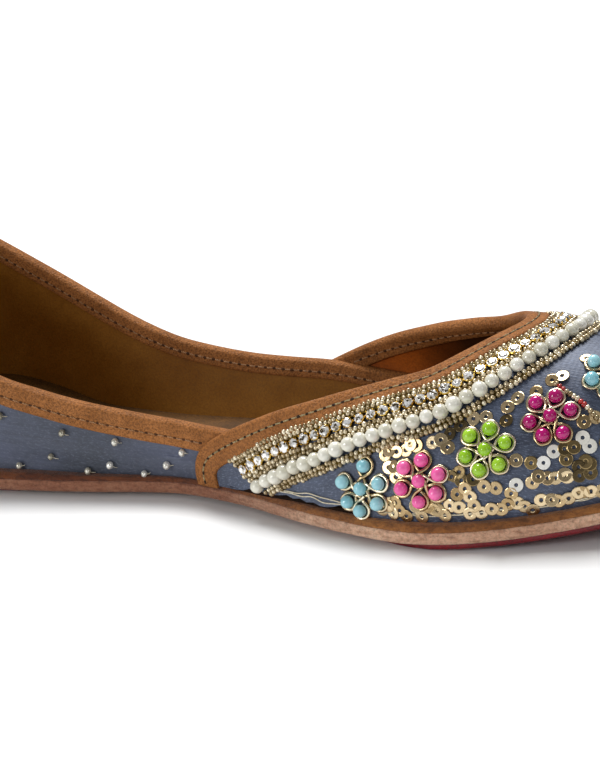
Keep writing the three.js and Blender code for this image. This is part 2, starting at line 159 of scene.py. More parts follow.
def outsole_bottom(x):
    return GUARD + spring(x)


def outsole_top(x):
    return outsole_bottom(x) + OUTSOLE


def midsole_top(x):
    return outsole_top(x) + MIDSOLE + (MIDSOLE_WAIST - MIDSOLE) * waist(x)


def insole_top(x):
    return midsole_top(x) + INSOLE + HEEL_RISE * (1 - ease(*RISE_END, x))


def placed(points):
    """Pattern millimetres to the frame's metres."""
    moved = np.array(points, float)
    moved[..., 0] -= LENGTH / 2
    return moved * MM


# --------------------------------------------------------------------- form of the last

CURVE_STEPS = 24


def smooth_curve(knots, closed=False, steps=CURVE_STEPS):
    """Centripetal curve through the knots."""
    knots = np.array(knots, float)
    if closed:
        before, after = knots[-1:], knots[:2]
    else:
        before, after = 2 * knots[:1] - knots[1:2], 2 * knots[-1:] - knots[-2:-1]
    p = np.concatenate([before, knots, after])
    pieces = []
    for k in range(1, len(p) - 2):
        p0, p1, p2, p3 = p[k - 1:k + 3]
        d0, d1, d2 = (np.linalg.norm(b - a) ** 0.5 for a, b in ((p0, p1), (p1, p2), (p2, p3)))
        m1 = ((p1 - p0) / d0 - (p2 - p0) / (d0 + d1) + (p2 - p1) / d1) * d1
        m2 = ((p2 - p1) / d1 - (p3 - p1) / (d1 + d2) + (p3 - p2) / d2) * d1
        t = (np.arange(steps) / steps)[:, None]
        pieces.append(p1 + m1 * t + (3 * (p2 - p1) - 2 * m1 - m2) * t**2
                      + (2 * (p1 - p2) + m1 + m2) * t**3)
    pieces.append(p[-2:-1])
    return np.concatenate(pieces)


def plan_sides(rows, heel, toe):
    """The outline as two lines of points, heel to toe: medial and lateral."""
    medial = np.stack([rows["x"], -rows["medial"]], 1)
    lateral = np.stack([rows["x"], rows["lateral"]], 1)
    ring = smooth_curve([[heel, 0], *medial, [toe, 0], *lateral[::-1]], closed=True)
    tip = (len(medial) + 1) * CURVE_STEPS
    return {-1: ring[:tip + 1], 1: ring[:tip - 1:-1]}


SOLE = plan_sides(SOLE_PLAN, 0.0, LENGTH)
LAST = plan_sides(LAST_PLAN, LAST_HEEL, LAST_TOE)


def side_point(plan, side, x):
    """The outline's point on one side at x."""
    line = plan[side]
    return np.stack([np.asarray(x, float), np.interp(x, line[:, 0], line[:, 1])], -1)


def sections(foot, spine_x):
    """Sections of the last, each from a foot on the outline up to the ridge line."""
    spine = np.stack([spine_x, column(SECTIONS, "centre", spine_x)], -1)
    outward = foot - spine
    reach = np.linalg.norm(outward, axis=-1)
    return {
        "spine": spine,
        "outward": outward / reach[..., None],
        "reach": reach,
        "foot": midsole_top(foot[..., 0]),
        "square": column(SECTIONS, "square", spine_x),
        "tuck": np.where(foot[..., 1] < 0, column(SECTIONS, "tuck_medial", foot[..., 0]),
                         column(SECTIONS, "tuck_lateral", foot[..., 0])),
    }


def last_point(cut, up, off):
    """Points of the sections: up is 0 at the foot and 1 on the ridge line, off is the
    distance out from the last's surface."""
    rise = np.sin(up * math.pi / 2)
    narrow = np.maximum(0, 1 - rise ** cut["square"]) ** (1 / cut["square"])
    tucked = cut["tuck"] * np.maximum(0, 1 - up / TUCK_HEIGHT) ** 2
    along = (cut["reach"] + off) * narrow - tucked
    flat = cut["spine"] + cut["outward"] * along[..., None]
    ridge = column(SECTIONS, "ridge", flat[..., 0])
    height = cut["foot"] + (ridge + off - cut["foot"]) * rise
    return np.concatenate([flat, height[..., None]], -1)


def spread(cut, extra):
    """The same sections, with room for more values along a new last axis."""
    return {k: v[..., None, :] if k in ("spine", "outward") else np.broadcast_to(
        v[..., None], v.shape + (extra,)) for k, v in cut.items()}


FAN, FLANK_STEP, ROWS = 20, 2.0, 64


def ring_feet():
    """Feet and spine places of all sections round the shoe, heel tip first."""
    def side(sign):
        line = LAST[sign]

        def fan(spine_x, backwards):
            centre = column(SECTIONS, "centre", spine_x)
            dx = (line[:, 0] - spine_x) * (-1 if backwards else 1)
            angle = np.arctan2(np.abs(line[:, 1] - centre), dx)
            order = np.argsort(angle)
            wanted = np.arange(FAN) / FAN * math.pi / 2
            where = np.interp(wanted, angle[order], order.astype(float))
            return np.stack([np.interp(where, np.arange(len(line)), line[:, k]) for k in (0, 1)], 1)

        flank = np.arange(SPINE_HEEL, SPINE_TOE + 0.1, FLANK_STEP)
        heel, toe = fan(SPINE_HEEL, True), fan(SPINE_TOE, False)[::-1]
        feet = np.concatenate([heel, side_point(LAST, sign, flank), toe])
        spine = np.concatenate([np.full(FAN, SPINE_HEEL), flank, np.full(FAN, SPINE_TOE)])
        return feet, spine

    (feet_m, spine_m), (feet_l, spine_l) = side(-1), side(1)
    feet_m[0], feet_m[-1] = LAST[-1][0], LAST[-1][-1]
    feet = np.concatenate([feet_m, feet_l[-2:0:-1]])
    spine = np.concatenate([spine_m, spine_l[-2:0:-1]])
    return feet, spine, np.where(np.arange(len(feet)) < len(feet_m), -1, 1)


RING_FEET, RING_SPINE, RING_SIDE = ring_feet()
RING = sections(RING_FEET, RING_SPINE)
COUNT = len(RING_FEET)
UPS = np.linspace(0, 1, ROWS + 1)


def grid(off):
    """All grid points of the last at a distance from its surface, section by section."""
    wide = spread(RING, ROWS + 1)
    return last_point(wide, np.broadcast_to(UPS, (COUNT, ROWS + 1)), off)


def up_to_ridge(points):
    """Distance over the last from each of the sections' points up to the ridge line."""
    steps = np.linalg.norm(np.diff(points, axis=1), axis=-1)
    return np.concatenate([np.cumsum(steps[:, ::-1], 1)[:, ::-1], np.zeros((len(points), 1))], 1)


LAST_GRID = grid(0.0)
OVER_LAST = up_to_ridge(LAST_GRID)


def up_at(side, x, over=None, z=None):
    """Share of the section at x where it is a distance over the last from the ridge, or
    at a height."""
    x = np.atleast_1d(np.asarray(x, float))
    cut = sections(side_point(LAST, side, x), x)
    ups = np.linspace(0, 1, 91)
    points = last_point(spread(cut, 91), np.broadcast_to(ups, (len(x), 91)), 0.0)
    if z is not None:
        return np.array([np.interp(h, p[:, 2], ups) for h, p in zip(np.broadcast_to(z, x.shape), points)])
    along = up_to_ridge(points)
    return np.array([np.interp(a, d[::-1], ups[::-1]) for a, d in zip(np.broadcast_to(over, x.shape), along)])


def on_last(side, x, up, off):
    """The point over the last at x, a share of the section up and a distance off it."""
    x = np.array([x], float)
    return last_point(sections(side_point(LAST, side, x), x), np.array([up]), off)[0]


def flat_line(rows, foot_x):
    """An edge on the flattened last, medial foot to lateral foot: x, and the distance
    from the ridge line, which is negative on the medial side."""
    ends = {}
    for side in (-1, 1):
        x, z = rows["x"], rows["z"]
        whole = OVER_LAST[np.argmin(np.abs(RING_FEET[:, 0] - foot_x) + 100 * (RING_SIDE != side)), 0]
        cut = sections(side_point(LAST, side, x), x)
        ridge = column(SECTIONS, "ridge", x)
        height = z - VAMP_OUT * ((z - cut["foot"]) / (ridge - cut["foot"])) ** 2
        ups = up_at(side, x, z=height)
        over = np.array([over_at(side, a, b) for a, b in zip(x, ups)])
        ends[side] = np.concatenate([[[foot_x, side * (whole + 6)]], np.stack([x, side * over], 1)])
    return smooth_curve([*ends[-1], [THROAT_FRONT, 0], *ends[1][::-1]], steps=16)


def over_at(side, x, up):
    """The distance over the last from a share of the section up to the ridge line."""
    cut = sections(side_point(LAST, side, np.array([x])), np.array([x]))
    ups = np.linspace(up, 1, 60)
    points = last_point(spread(cut, 60), ups[None], 0.0)[0]
    return np.linalg.norm(np.diff(points, axis=0), axis=-1).sum()


THROAT_FLAT = flat_line(THROAT, WING_FOOT)
BAND_FLAT = flat_line(BAND_LINE, BAND_LINE["x"][0] - 4)


def beyond_throat():
    """Distance of each grid point from the throat edge on the flattened last, positive
    on the vamp."""
    here = np.stack([np.broadcast_to(RING["spine"][:, :1], OVER_LAST.shape),
                     RING_SIDE[:, None] * OVER_LAST], -1)
    a, b = THROAT_FLAT[:-1], THROAT_FLAT[1:]
    along = b - a
    away = here[..., None, :] - a
    t = np.clip((away * along).sum(-1) / (along**2).sum(-1), 0, 1)
    distance = np.linalg.norm(away - along * t[..., None], axis=-1)
    k = distance.argmin(-1)
    near = np.take_along_axis(distance, k[..., None], -1)[..., 0]
    turn = along[k][..., 0] * (here - a[k])[..., 1] - along[k][..., 1] * (here - a[k])[..., 0]
    value = np.where(turn < 0, near, -near)
    return np.where(RING["spine"][:, :1] >= SPINE_TOE, 60.0, value)


def below_collar():
    """Distance of each grid point below the collar edge, square to the edge."""
    x, z = LAST_GRID[..., 0], LAST_GRID[..., 2]
    edge, slope = np.zeros_like(x), np.zeros_like(x)
    for side, name in ((-1, "medial"), (1, "lateral")):
        mine = (RING_SIDE == side)[:, None] & np.ones_like(x, bool)
        edge = np.where(mine, column(COLLAR, name, x), edge)
        slope = np.where(mine, (column(COLLAR, name, x + 1) - column(COLLAR, name, x - 1)) / 2, slope)
    return (edge - z) / np.hypot(1, slope)


BEYOND_THROAT = beyond_throat()
BELOW_COLLAR = below_collar()
BEHIND_FRONT = QUARTER_FRONT - LAST_GRID[..., 0]

# ---------------------------------------------------------------------- making meshes


def new_piece(name, points, faces, material):
    """A piece that rides on the shoe, from pattern points and faces."""
    mesh = bpy.data.meshes.new(name)
    mesh.from_pydata(placed(points).tolist(), [], [list(map(int, f)) for f in faces])
    mesh.validate()
    piece = bpy.data.objects.new(name, mesh)
    bpy.context.collection.objects.link(piece)
    mesh.materials.append(material)
    tidy_mesh(piece)
    mesh.polygons.foreach_set("use_smooth", [True] * len(mesh.polygons))
    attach(piece, BODY)
    return piece


def pick_out(piece):
    """Leaves one piece selected and active."""
    bpy.ops.object.select_all(action="DESELECT")
    bpy.context.view_layer.objects.active = piece
    piece.select_set(True)


def tidy_mesh(piece):
    """Doubled points are merged and the normals turned outward."""
    pick_out(piece)
    bpy.ops.object.mode_set(mode="EDIT")
    bpy.ops.mesh.select_all(action="SELECT")
    bpy.ops.mesh.remove_doubles(threshold=0.01 * MM)
    bpy.ops.mesh.normals_make_consistent(inside=False)
    bpy.ops.object.mode_set(mode="OBJECT")
    piece.select_set(False)


def smooth_by_angle(piece, degrees):
    """Shades a piece smooth but keeps its edges sharper than an angle."""
    pick_out(piece)
    bpy.ops.object.shade_smooth_by_angle(angle=math.radians(degrees))
    piece.select_set(False)


def trimmed(values, faces, field):
    """The faces cut where one column of values is zero; what is above zero stays. Every
    column is carried on to the new points."""
    rows, made = list(values), {}
    inside = values[:, field] >= 0

    def crossing(a, b):
        key = (min(a, b), max(a, b))
        if key not in made:
            first, second = values[key[0]], values[key[1]]
            t = first[field] / (first[field] - second[field])
            made[key] = len(rows)
            rows.append(first * (1 - t) + second * t)
        return made[key]

    kept = []
    for face in faces:
        new = []
        for k, v in enumerate(face):
            w = face[(k + 1) % len(face)]
            if inside[v]:
                new.append(v)
            if inside[v] != inside[w]:
                new.append(crossing(v, w))
        if len(new) > 2:
            kept.append(new)
    return np.array(rows), kept


def shell(outer, inner, faces):
    """Points and faces of a closed shell between two equal nets of points."""
    count = len(outer)
    edges = {}
    for face in faces:
        for a, b in zip(face, [*face[1:], face[0]]):
            edges[(a, b)] = edges.get((a, b), 0) + 1
    rims = [(a, b) for a, b in edges if (b, a) not in edges]
    walls = [[b, a, a + count, b + count] for a, b in rims]
    back = [[v + count for v in reversed(face)] for face in faces]
    return np.concatenate([outer, inner]), [*faces, *back, *walls]


GRID_FACES = [
    [c * (ROWS + 1) + r, d * (ROWS + 1) + r, d * (ROWS + 1) + r + 1, c * (ROWS + 1) + r + 1]
    for c in range(COUNT) for d in [(c + 1) % COUNT] for r in range(ROWS)
]


def skin(name, outer, inner, fields, material):
    """One leather or cloth layer of the upper, cut to the pattern's edges."""
    flat = [outer.reshape(-1, 3), inner.reshape(-1, 3), *(f.reshape(-1, 1) for f in fields)]
    values = np.concatenate(flat, 1)
    faces = GRID_FACES
    for k in range(len(fields)):
        values, faces = trimmed(values, faces, 6 + k)
    used = sorted({v for face in faces for v in face})
    new = {v: k for k, v in enumerate(used)}
    faces = [[new[v] for v in face] for face in faces]
    values = values[used]
    points, faces = shell(values[:, :3], values[:, 3:6], faces)
    piece = new_piece(name, points, faces, material)
    smooth_by_angle(piece, 40)
    return piece


def net(points, closed_rows=False, closed_columns=False):
    """Quads between neighbours of a net of points [rows, columns]."""
    rows, columns = points.shape[:2]
    faces = []
    for r in range(rows if closed_rows else rows - 1):
        for c in range(columns if closed_columns else columns - 1):
            s, d = (r + 1) % rows, (c + 1) % columns
            faces.append([r * columns + c, r * columns + d, s * columns + d, s * columns + c])
    return faces


# ------------------------------------------------------- charts laid over the surface

CHART_STEP = 0.5


def distances(line):
    """How far along a line each of its points lies."""
    return np.concatenate([[0], np.cumsum(np.linalg.norm(np.diff(line, axis=0), axis=1))])


def resampled(line, step):
    """Points at even distances along a line."""
    away = distances(line)
    count = max(2, int(round(away[-1] / step)) + 1)
    wanted = np.linspace(0, away[-1], count)
    return np.stack([np.interp(wanted, away, line[:, k]) for k in range(line.shape[1])], 1)


def unit(v):
    """Directions of length 1."""
    return v / np.maximum(1e-9, np.linalg.norm(v, axis=-1, keepdims=True))


def surface(off):
    """The whole last at a distance, to lay things on."""
    return BVHTree.FromPolygons(grid(off).reshape(-1, 3).tolist(), GRID_FACES)


def laid_out(tree, line, inward, reach):
    """Rows of points that leave a line on the surface square to it: [along, away], and
    the surface's outward normals there. inward is -1 or 1, the side of the line."""
    tangent = unit(np.gradient(line, axis=0))
    points, normals = [], []
    here = line.copy()
    heading = None
    for k in range(int(reach / CHART_STEP) + 1):
        found = [tree.find_nearest(Vector(p)) for p in here]
        here = np.array([f[0] for f in found])
        normal = unit(np.array([f[1] for f in found]))
        if heading is None:
            normal = smoothed(normal, 2)
            heading = inward * np.cross(normal, tangent)
        heading = unit(heading - normal * (heading * normal).sum(1, keepdims=True))
        points.append(here)
        normals.append(normal)
        here = here + heading * CHART_STEP
    points = np.stack(points, 1)
    along, away = np.gradient(points, axis=0), np.gradient(points, axis=1)
    normal = unit(np.cross(along, away))
    flip = np.sign((normal * np.stack(normals, 1)).sum(-1, keepdims=True))
    normal = unit(smoothed(normal * flip, 2))
    return points, normal


def smoothed(values, passes):
    """Values evened out along a line, its ends kept."""
    for _ in range(passes):
        inner = (values[:-2] + 2 * values[1:-1] + values[2:]) / 4
        values = np.concatenate([values[:1], inner, values[-1:]])
    return values


def flat_to_last(line, off, step, sunk=0.0):
    """An edge on the flattened last back on the last, evenly spaced, as far as it lies
    above the feather line, and a little further down if it is sunk."""
    points = []
    for x, over in resampled(line, step):
        side = -1 if over < 0 else 1
        up = up_at(side, x, over=abs(over))[0]
        if up > 0.004:
            points.append(on_last(side, x, up, off))
    line = smoothed(np.array(points), 2)
    if sunk:
        line = np.concatenate([[line[0] - (0, 0, sunk)], line, [line[-1] - (0, 0, sunk)]])
    return resampled(line, step)


def collar_edge(off, step):
    """The quarters' top edge, medial front round the heel to lateral front."""
    points = []
    order = [c for c in range(COUNT) if RING_SIDE[c] < 0][::-1]
    order += [c for c in range(COUNT - 1, 0, -1) if RING_SIDE[c] > 0]
    for c in order:
        field = BELOW_COLLAR[c]
        cross = np.nonzero((field[:-1] >= 0) & (field[1:] < 0))[0]
        if RING["spine"][c, 0] > 144 or len(cross) == 0:
            continue
        k = cross[0]
        up = UPS[k] + (UPS[k + 1] - UPS[k]) * field[k] / (field[k] - field[k + 1])
        cut = {key: value[c:c + 1] for key, value in RING.items()}
        points.append(last_point(cut, np.array([up]), off)[0])
    return resampled(smoothed(np.array(points), 1), step)


def folded_strip(points, normals, wall, thickness, width, inside, seam_at):
    """Net of a strip folded over an edge: down the outside, over the edge, down the
    inside, and back between the legs."""
    away = np.linalg.norm(np.diff(points, axis=1), axis=-1).mean(0)
    away = np.concatenate([[0], np.cumsum(away)])

    rows = np.arange(len(points))

    def at(values, d):
        d = np.broadcast_to(d, len(rows))
        k = np.minimum(np.searchsorted(away, d, side="right") - 1, len(away) - 2)
        t = ((d - away[k]) / (away[k + 1] - away[k]))[:, None]
        return values[rows, k] * (1 - t) + values[rows, k + 1] * t

    def leg(end):
        slope = [0.6 + (end - 1.6) * share for share in np.linspace(1, 0, 12)]
        return [end, end - 0.06, end - 0.25, end - 0.6, *slope, 0.0]

    down = unit(points[:, 2] - points[:, 0])
    rim = {0: -0.15, 1: 0.55, 2: 0.85, 3: 0.97}
    loop = []
    for k, d in enumerate(leg(width)):
        dip = 0.14 * np.exp(-((d - seam_at) / 0.5) ** 2)
        height = np.broadcast_to(thickness * rim.get(k, 1.0) - dip, len(rows))
        loop.append(at(points, d) + at(normals, d) * height[:, None])
    middle = points[:, 0] - normals[:, 0] * wall / 2
    radius = wall / 2 + thickness
    for angle in np.radians(np.arange(18, 171, 18)):
        loop.append(middle + radius * (math.cos(angle) * normals[:, 0] - 0.75 * math.sin(angle) * down))
    for k, d in reversed(list(enumerate(leg(inside)))):
        loop.append(at(points, d) - at(normals, d) * (wall + thickness * rim.get(k, 1.0)))
    for d in (inside - 0.3, inside / 2, 0.6):
        loop.append(at(points, d) - at(normals, d) * (wall - 0.2))
    for d in (0.6, width / 2, width - 0.3):
        loop.append(at(points, d) - at(normals, d) * 0.2)
    return np.stack(loop, 1)


def strip_piece(name, points, material):
    """A strip from its net, with both ends closed."""
    faces = net(points, closed_columns=True)
    rows, columns = points.shape[:2]
    faces.append(list(range(columns)))
    faces.append([(rows - 1) * columns + c for c in range(columns)][::-1])
    piece = new_piece(name, points.reshape(-1, 3), faces, material)
    smooth_by_angle(piece, 55)
    return piece


# ------------------------------------------------------------ repeats of small shapes


def model_shape(primitive, **given):
    """A small shape modelled once at the origin, as points in millimetres and faces."""
    bpy.ops.object.select_all(action="DESELECT")
    primitive(**given)
    piece = bpy.context.object
    bpy.ops.object.transform_apply(location=True, rotation=True, scale=True)
    mesh = piece.data
    points = np.array([v.co for v in mesh.vertices]) / MM
    # Sorted, so that they come in the same order each time.
    order = np.lexsort(np.round(points, 4).T)
    place = np.argsort(order).tolist()
    faces = [[place[v] for v in p.vertices] for p in mesh.polygons]
    starts = [face.index(min(face)) for face in faces]
    faces = sorted(face[k:] + face[:k] for face, k in zip(faces, starts))
    bpy.data.objects.remove(piece)
    bpy.data.meshes.remove(mesh)
    return points[order], faces


def copies(name, shape, places, material, seed, smooth=True):
    """One mesh of many copies of a shape. A place is (point, along, up, size): along and
    up are the shape's x and z, size one number or three. Each copy has its own tone."""
    points, faces = shape
    chance = random.Random(seed)
    all_points, tones = [], []
    for point, along, up, size in places:
        up = unit(np.array(up, float))
        across = unit(np.cross(up, along))
        turn = np.stack([np.cross(across, up), across, up])
        all_points.append((points * size) @ turn + point)
        tones.append(np.full(len(points), chance.random()))
    sizes = np.array([len(f) for f in faces])
    corners = np.concatenate([np.array(f) for f in faces])
    count = len(places)
    every = (corners[None] + len(points) * np.arange(count)[:, None]).ravel()
    totals = np.tile(sizes, count)
    mesh = bpy.data.meshes.new(name)
    mesh.vertices.add(len(points) * count)
    mesh.vertices.foreach_set("co", placed(np.concatenate(all_points)).ravel())
    mesh.loops.add(len(every))
    mesh.loops.foreach_set("vertex_index", every.astype(np.int32))
    mesh.polygons.add(len(totals))
    starts = np.concatenate([[0], np.cumsum(totals)[:-1]]).astype(np.int32)
    mesh.polygons.foreach_set("loop_start", starts)
    mesh.polygons.foreach_set("use_smooth", np.full(len(totals), smooth))
    mesh.update(calc_edges=True)
    mesh.validate()
    tone = mesh.attributes.new("tone", "FLOAT", "POINT")
    tone.data.foreach_set("value", np.concatenate(tones))
    mesh.materials.append(material)
    piece = bpy.data.objects.new(name, mesh)
    bpy.context.collection.objects.link(piece)
    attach(piece, BODY)
    return piece


# -------------------------------------------------------------------------- materials


def colour(hex_code):
    """A screen colour as the linear numbers that Blender mixes."""
    parts = [int(hex_code[k:k + 2], 16) / 255 for k in (1, 3, 5)]
    return tuple(p / 12.92 if p <= 0.04045 else ((p + 0.055) / 1.055) ** 2.4 for p in parts) + (1.0,)


def new_material(name):
    """An empty material and its node tree."""
    material = bpy.data.materials.new(name)
    material.use_nodes = True
    material.node_tree.nodes.clear()
    return material, material.node_tree


def marks(size):
    """The scale of a pattern from the real size of its marks in millimetres."""
    return 1000 / size


def add(tree, kind, links=(), stops=(), **settings):
    """A node with its settings. links gives inputs by name or number: a value, or an
    output socket to join to it. stops are a colour ramp's places, each with a colour or
    a grey."""
    new = tree.nodes.new("ShaderNode" + kind)
    for key, value in settings.items():
        setattr(new, key, value)
    for key, value in dict(links).items():
        if isinstance(value, bpy.types.NodeSocket):
            tree.links.new(value, new.inputs[key])
        else:
            new.inputs[key].default_value = value
    for _ in stops[2:]:
        new.color_ramp.elements.new(0.5)
    for k, (place, code) in enumerate(stops):
        element = new.color_ramp.elements[k]
        element.position = place
        element.color = colour(code) if isinstance(code, str) else (code, code, code, 1)
    return new


# A Mix node's settings: one colour laid over another, or the two multiplied.
MIXED = {"data_type": "RGBA"}
MULTIPLIED = {"data_type": "RGBA", "blend_type": "MULTIPLY"}


def leather(name, dark, light, grain_mm, rough, coat=0.0, bump=0.25, shine_level=0.3, speckle=0.8,
            deep=None):
    """Tanned leather: pebbled grain from small cells, a slow change of tone over the
    hide, and pores a little darker than the rest."""
    material, tree = new_material(name)
    where = add(tree, "TexCoord").outputs["Object"]
    grain = add(tree, "TexVoronoi", {"Vector": where, "Scale": marks(grain_mm), "Randomness": 1.0},
                feature="DISTANCE_TO_EDGE")
    pores = add(tree, "TexNoise", {"Vector": where, "Scale": marks(0.476), "Detail": 3.0, "Roughness": 0.6})
    hide = add(tree, "TexNoise", {"Vector": where, "Scale": marks(10.5), "Detail": 5.0, "Roughness": 0.6})
    tone = add(tree, "ValToRGB", {0: hide.outputs[0]}, stops=((0.3, dark), (0.7, light))).outputs[0]
    speck = add(tree, "ValToRGB", {0: pores.outputs[0]},
                stops=((0.38, 0.55), (0.5, 1.0), (0.62, 1.3))).outputs[0]
    body = add(tree, "Mix", {0: speckle, 6: tone, 7: speck}, **MULTIPLIED).outputs[2]
    if deep:
        # Painted shade: darker toward the toe, deep inside the vamp under the throat.
        along = add(tree, "SeparateXYZ", {0: where}).outputs[0]
        share = add(tree, "MapRange", {0: along, 1: 0.018, 2: 0.034, 3: 0.0, 4: 0.9})
        body = add(tree, "Mix", {0: share.outputs[0], 6: body, 7: colour(deep)}, **MIXED).outputs[2]
    height = add(tree, "Math", {0: grain.outputs[0], 1: pores.outputs[0]}, operation="ADD")
    relief = add(tree, "Bump", {"Height": height.outputs[0], "Strength": bump, "Distance": 0.0004})
    shine = add(tree, "MapRange", {0: pores.outputs[0], 3: rough - 0.08, 4: rough + 0.1})
    shader = add(tree, "BsdfPrincipled", {
        "Base Color": body, "Roughness": shine.outputs[0], "Normal": relief.outputs[0],
        "IOR": 1.5, "Specular IOR Level": shine_level, "Coat Weight": coat, "Coat Roughness": 0.25,
    })
    add(tree, "OutputMaterial", {"Surface": shader.outputs[0]})
    return material


def cut_leather(name, dark, light, streak):
    """The raw cut edge of leather: layers of fibre squeezed flat, with pits and pale
    crumbs where the knife tore it, and darker from the waist back to the heel."""
    material, tree = new_material(name)
    where = add(tree, "TexCoord").outputs["Object"]
    flat = add(tree, "Mapping", {0: where, "Scale": (0.45, 0.45, 1.6)}).outputs[0]
    fibre = add(tree, "TexNoise", {"Vector": flat, "Scale": marks(1.11), "Detail": 6.0, "Roughness": 0.7})
    pits = add(tree, "TexNoise", {"Vector": where, "Scale": marks(0.667), "Detail": 5.0, "Roughness": 0.75})
    patch = add(tree, "TexNoise", {"Vector": where, "Scale": marks(16.7), "Detail": 3.0})
    tone = add(tree, "ValToRGB", {0: patch.outputs[0]}, stops=((0.3, dark), (0.7, light))).outputs[0]
    streaks = add(tree, "ValToRGB", {0: fibre.outputs[0]},
                  stops=((0.3, streak), (0.55, "#ffffff"))).outputs[0]
    body = add(tree, "Mix", {0: 0.7, 6: tone, 7: streaks}, **MULTIPLIED).outputs[2]
    crumbs = add(tree, "ValToRGB", {0: pits.outputs[0]},
                 stops=((0.35, 0.55), (0.5, 1.0), (0.68, 1.25))).outputs[0]
    body = add(tree, "Mix", {0: 0.8, 6: body, 7: crumbs}, **MULTIPLIED).outputs[2]
    # Darker from the waist back to the heel.
    along = add(tree, "SeparateXYZ", {0: where}).outputs[0]
    toward_heel = add(tree, "MapRange", {0: along, 1: 0.03, 2: -0.01, 3: 0.0, 4: 1.0})
    body = add(tree, "Mix", {0: toward_heel.outputs[0], 6: body, 7: colour("#b89c8e")}, **MULTIPLIED).outputs[2]
    height = add(tree, "Math", {0: fibre.outputs[0], 1: pits.outputs[0]}, operation="ADD")
    relief = add(tree, "Bump", {"Height": height.outputs[0], "Strength": 0.7, "Distance": 0.0004})
    shader = add(tree, "BsdfPrincipled", {
        "Base Color": body, "Roughness": 0.82, "Normal": relief.outputs[0], "IOR": 1.45,
        "Sheen Weight": 0.15,
    })
    add(tree, "OutputMaterial", {"Surface": shader.outputs[0]})
    return material


RIB = 1.0857
# At scale 1 a wave texture's bands lie this far apart.
WAVE = math.pi / 10


def satin(name, dark, light, spark, glints):
    """Slate satin woven with a metallic weft: fine ribs, a soft sheen that follows the
    threads, and small glints painted into the colour as lighter specks, partly the weft's
    own paler threads and partly painted highlight. Its real threads, about 0.2 mm apart,
    are too fine to show, so the ribs are drawn RIB apart and the slubs and glints as wide as a few threads."""
    material, tree = new_material(name)
    where = add(tree, "UVMap", uv_map="cloth").outputs[0]
    place = add(tree, "TexCoord").outputs["Object"]
    warp, weft = (
        add(tree, "TexWave", {"Vector": where, "Scale": marks(RIB) * WAVE, "Distortion": 1.2,
                              "Detail": 1.0, "Detail Scale": 3.0}, bands_direction=way)
        for way in "XY"
    )
    slub = add(tree, "Mapping", {0: where, "Scale": (marks(16.7), marks(0.714), 1.0)}).outputs[0]
    thread = add(tree, "TexNoise", {"Vector": slub, "Scale": 1.0, "Detail": 3.0, "Roughness": 0.6})
    cloud = add(tree, "TexNoise", {"Vector": place, "Scale": marks(14.3), "Detail": 4.0, "Roughness": 0.55})
    streak = add(tree, "Mapping", {0: where, "Scale": (marks(1.11), marks(0.435), 1.0)}).outputs[0]
    glint = add(tree, "TexNoise", {"Vector": streak, "Scale": 1.0, "Detail": 3.0, "Roughness": 0.8})
    tone = add(tree, "ValToRGB", {0: cloud.outputs[0]}, stops=((0.3, dark), (0.7, light))).outputs[0]
    slubs = add(tree, "ValToRGB", {0: thread.outputs[0]}, stops=((0.35, 0.7), (0.65, 1.2))).outputs[0]
    tone = add(tree, "Mix", {0: 0.5, 6: tone, 7: slubs}, **MULTIPLIED).outputs[2]
    # Painted glints: lighter specks, partly the metallic weft's own paler threads and partly painted
    # highlight.
    weft_and_glint_specks = add(tree, "ValToRGB", {0: glint.outputs[0]}, stops=((0.52, 0.0), (0.68, glints))).outputs[0]
    tone = add(tree, "Mix", {0: weft_and_glint_specks, 6: tone, 7: colour(spark)}, **MIXED).outputs[2]
    ribs = add(tree, "Math", {0: warp.outputs[0], 1: weft.outputs[0]}, operation="MULTIPLY")
    height = add(tree, "Math", {0: ribs.outputs[0], 1: thread.outputs[0]}, operation="ADD")
    relief = add(tree, "Bump", {"Height": height.outputs[0], "Strength": 0.14, "Distance": 0.0002})
    shine = add(tree, "MapRange", {0: thread.outputs[0], 3: 0.42, 4: 0.66})
    shader = add(tree, "BsdfPrincipled", {
        "Base Color": tone, "Roughness": shine.outputs[0], "Normal": relief.outputs[0], "IOR": 1.5,
        "Metallic": 0.1, "Anisotropic": 0.4, "Sheen Weight": 0.08, "Sheen Roughness": 0.4,
    })
    add(tree, "OutputMaterial", {"Surface": shader.outputs[0]})
    return material


def metal(name, dark, light, rough):
    """Plated metal, tarnished in patches, and in some pieces more than in others. The
    fine unevenness of the plating is drawn coarse enough to show."""
    material, tree = new_material(name)
    where = add(tree, "TexCoord").outputs["Object"]
    patch = add(tree, "TexNoise", {"Vector": where, "Scale": marks(3.33), "Detail": 4.0})
    fine = add(tree, "TexNoise", {"Vector": where, "Scale": marks(0.833), "Detail": 3.0})
    tone = add(tree, "Attribute", attribute_name="tone").outputs["Fac"]
    share = add(tree, "Math", {0: patch.outputs[0], 1: tone, 2: tone}, operation="MULTIPLY_ADD")
    scaled = add(tree, "MapRange", {0: share.outputs[0], 1: 0.1, 2: 1.5})
    body = add(tree, "ValToRGB", {0: scaled.outputs[0]}, stops=((0.0, dark), (1.0, light))).outputs[0]
    relief = add(tree, "Bump", {"Height": fine.outputs[0], "Strength": 0.15, "Distance": 0.0002})
    shine = add(tree, "MapRange", {0: patch.outputs[0], 3: rough * 0.7, 4: rough * 1.4})
    shader = add(tree, "BsdfPrincipled", {
        "Base Color": body, "Metallic": 1.0, "Roughness": shine.outputs[0], "Normal": relief.outputs[0],
    })
    add(tree, "OutputMaterial", {"Surface": shader.outputs[0]})
    return material


def by_tone(tree, pattern, low, high, stops):
    """Colours by a pattern and each copy's own tone, so that no two are quite alike."""
    tone = add(tree, "Attribute", attribute_name="tone").outputs["Fac"]
    share = add(tree, "Math", {0: pattern.outputs[0], 1: tone}, operation="ADD")
    scaled = add(tree, "MapRange", {0: share.outputs[0], 1: low, 2: high})
    return add(tree, "ValToRGB", {0: scaled.outputs[0]}, stops=stops).outputs[0]


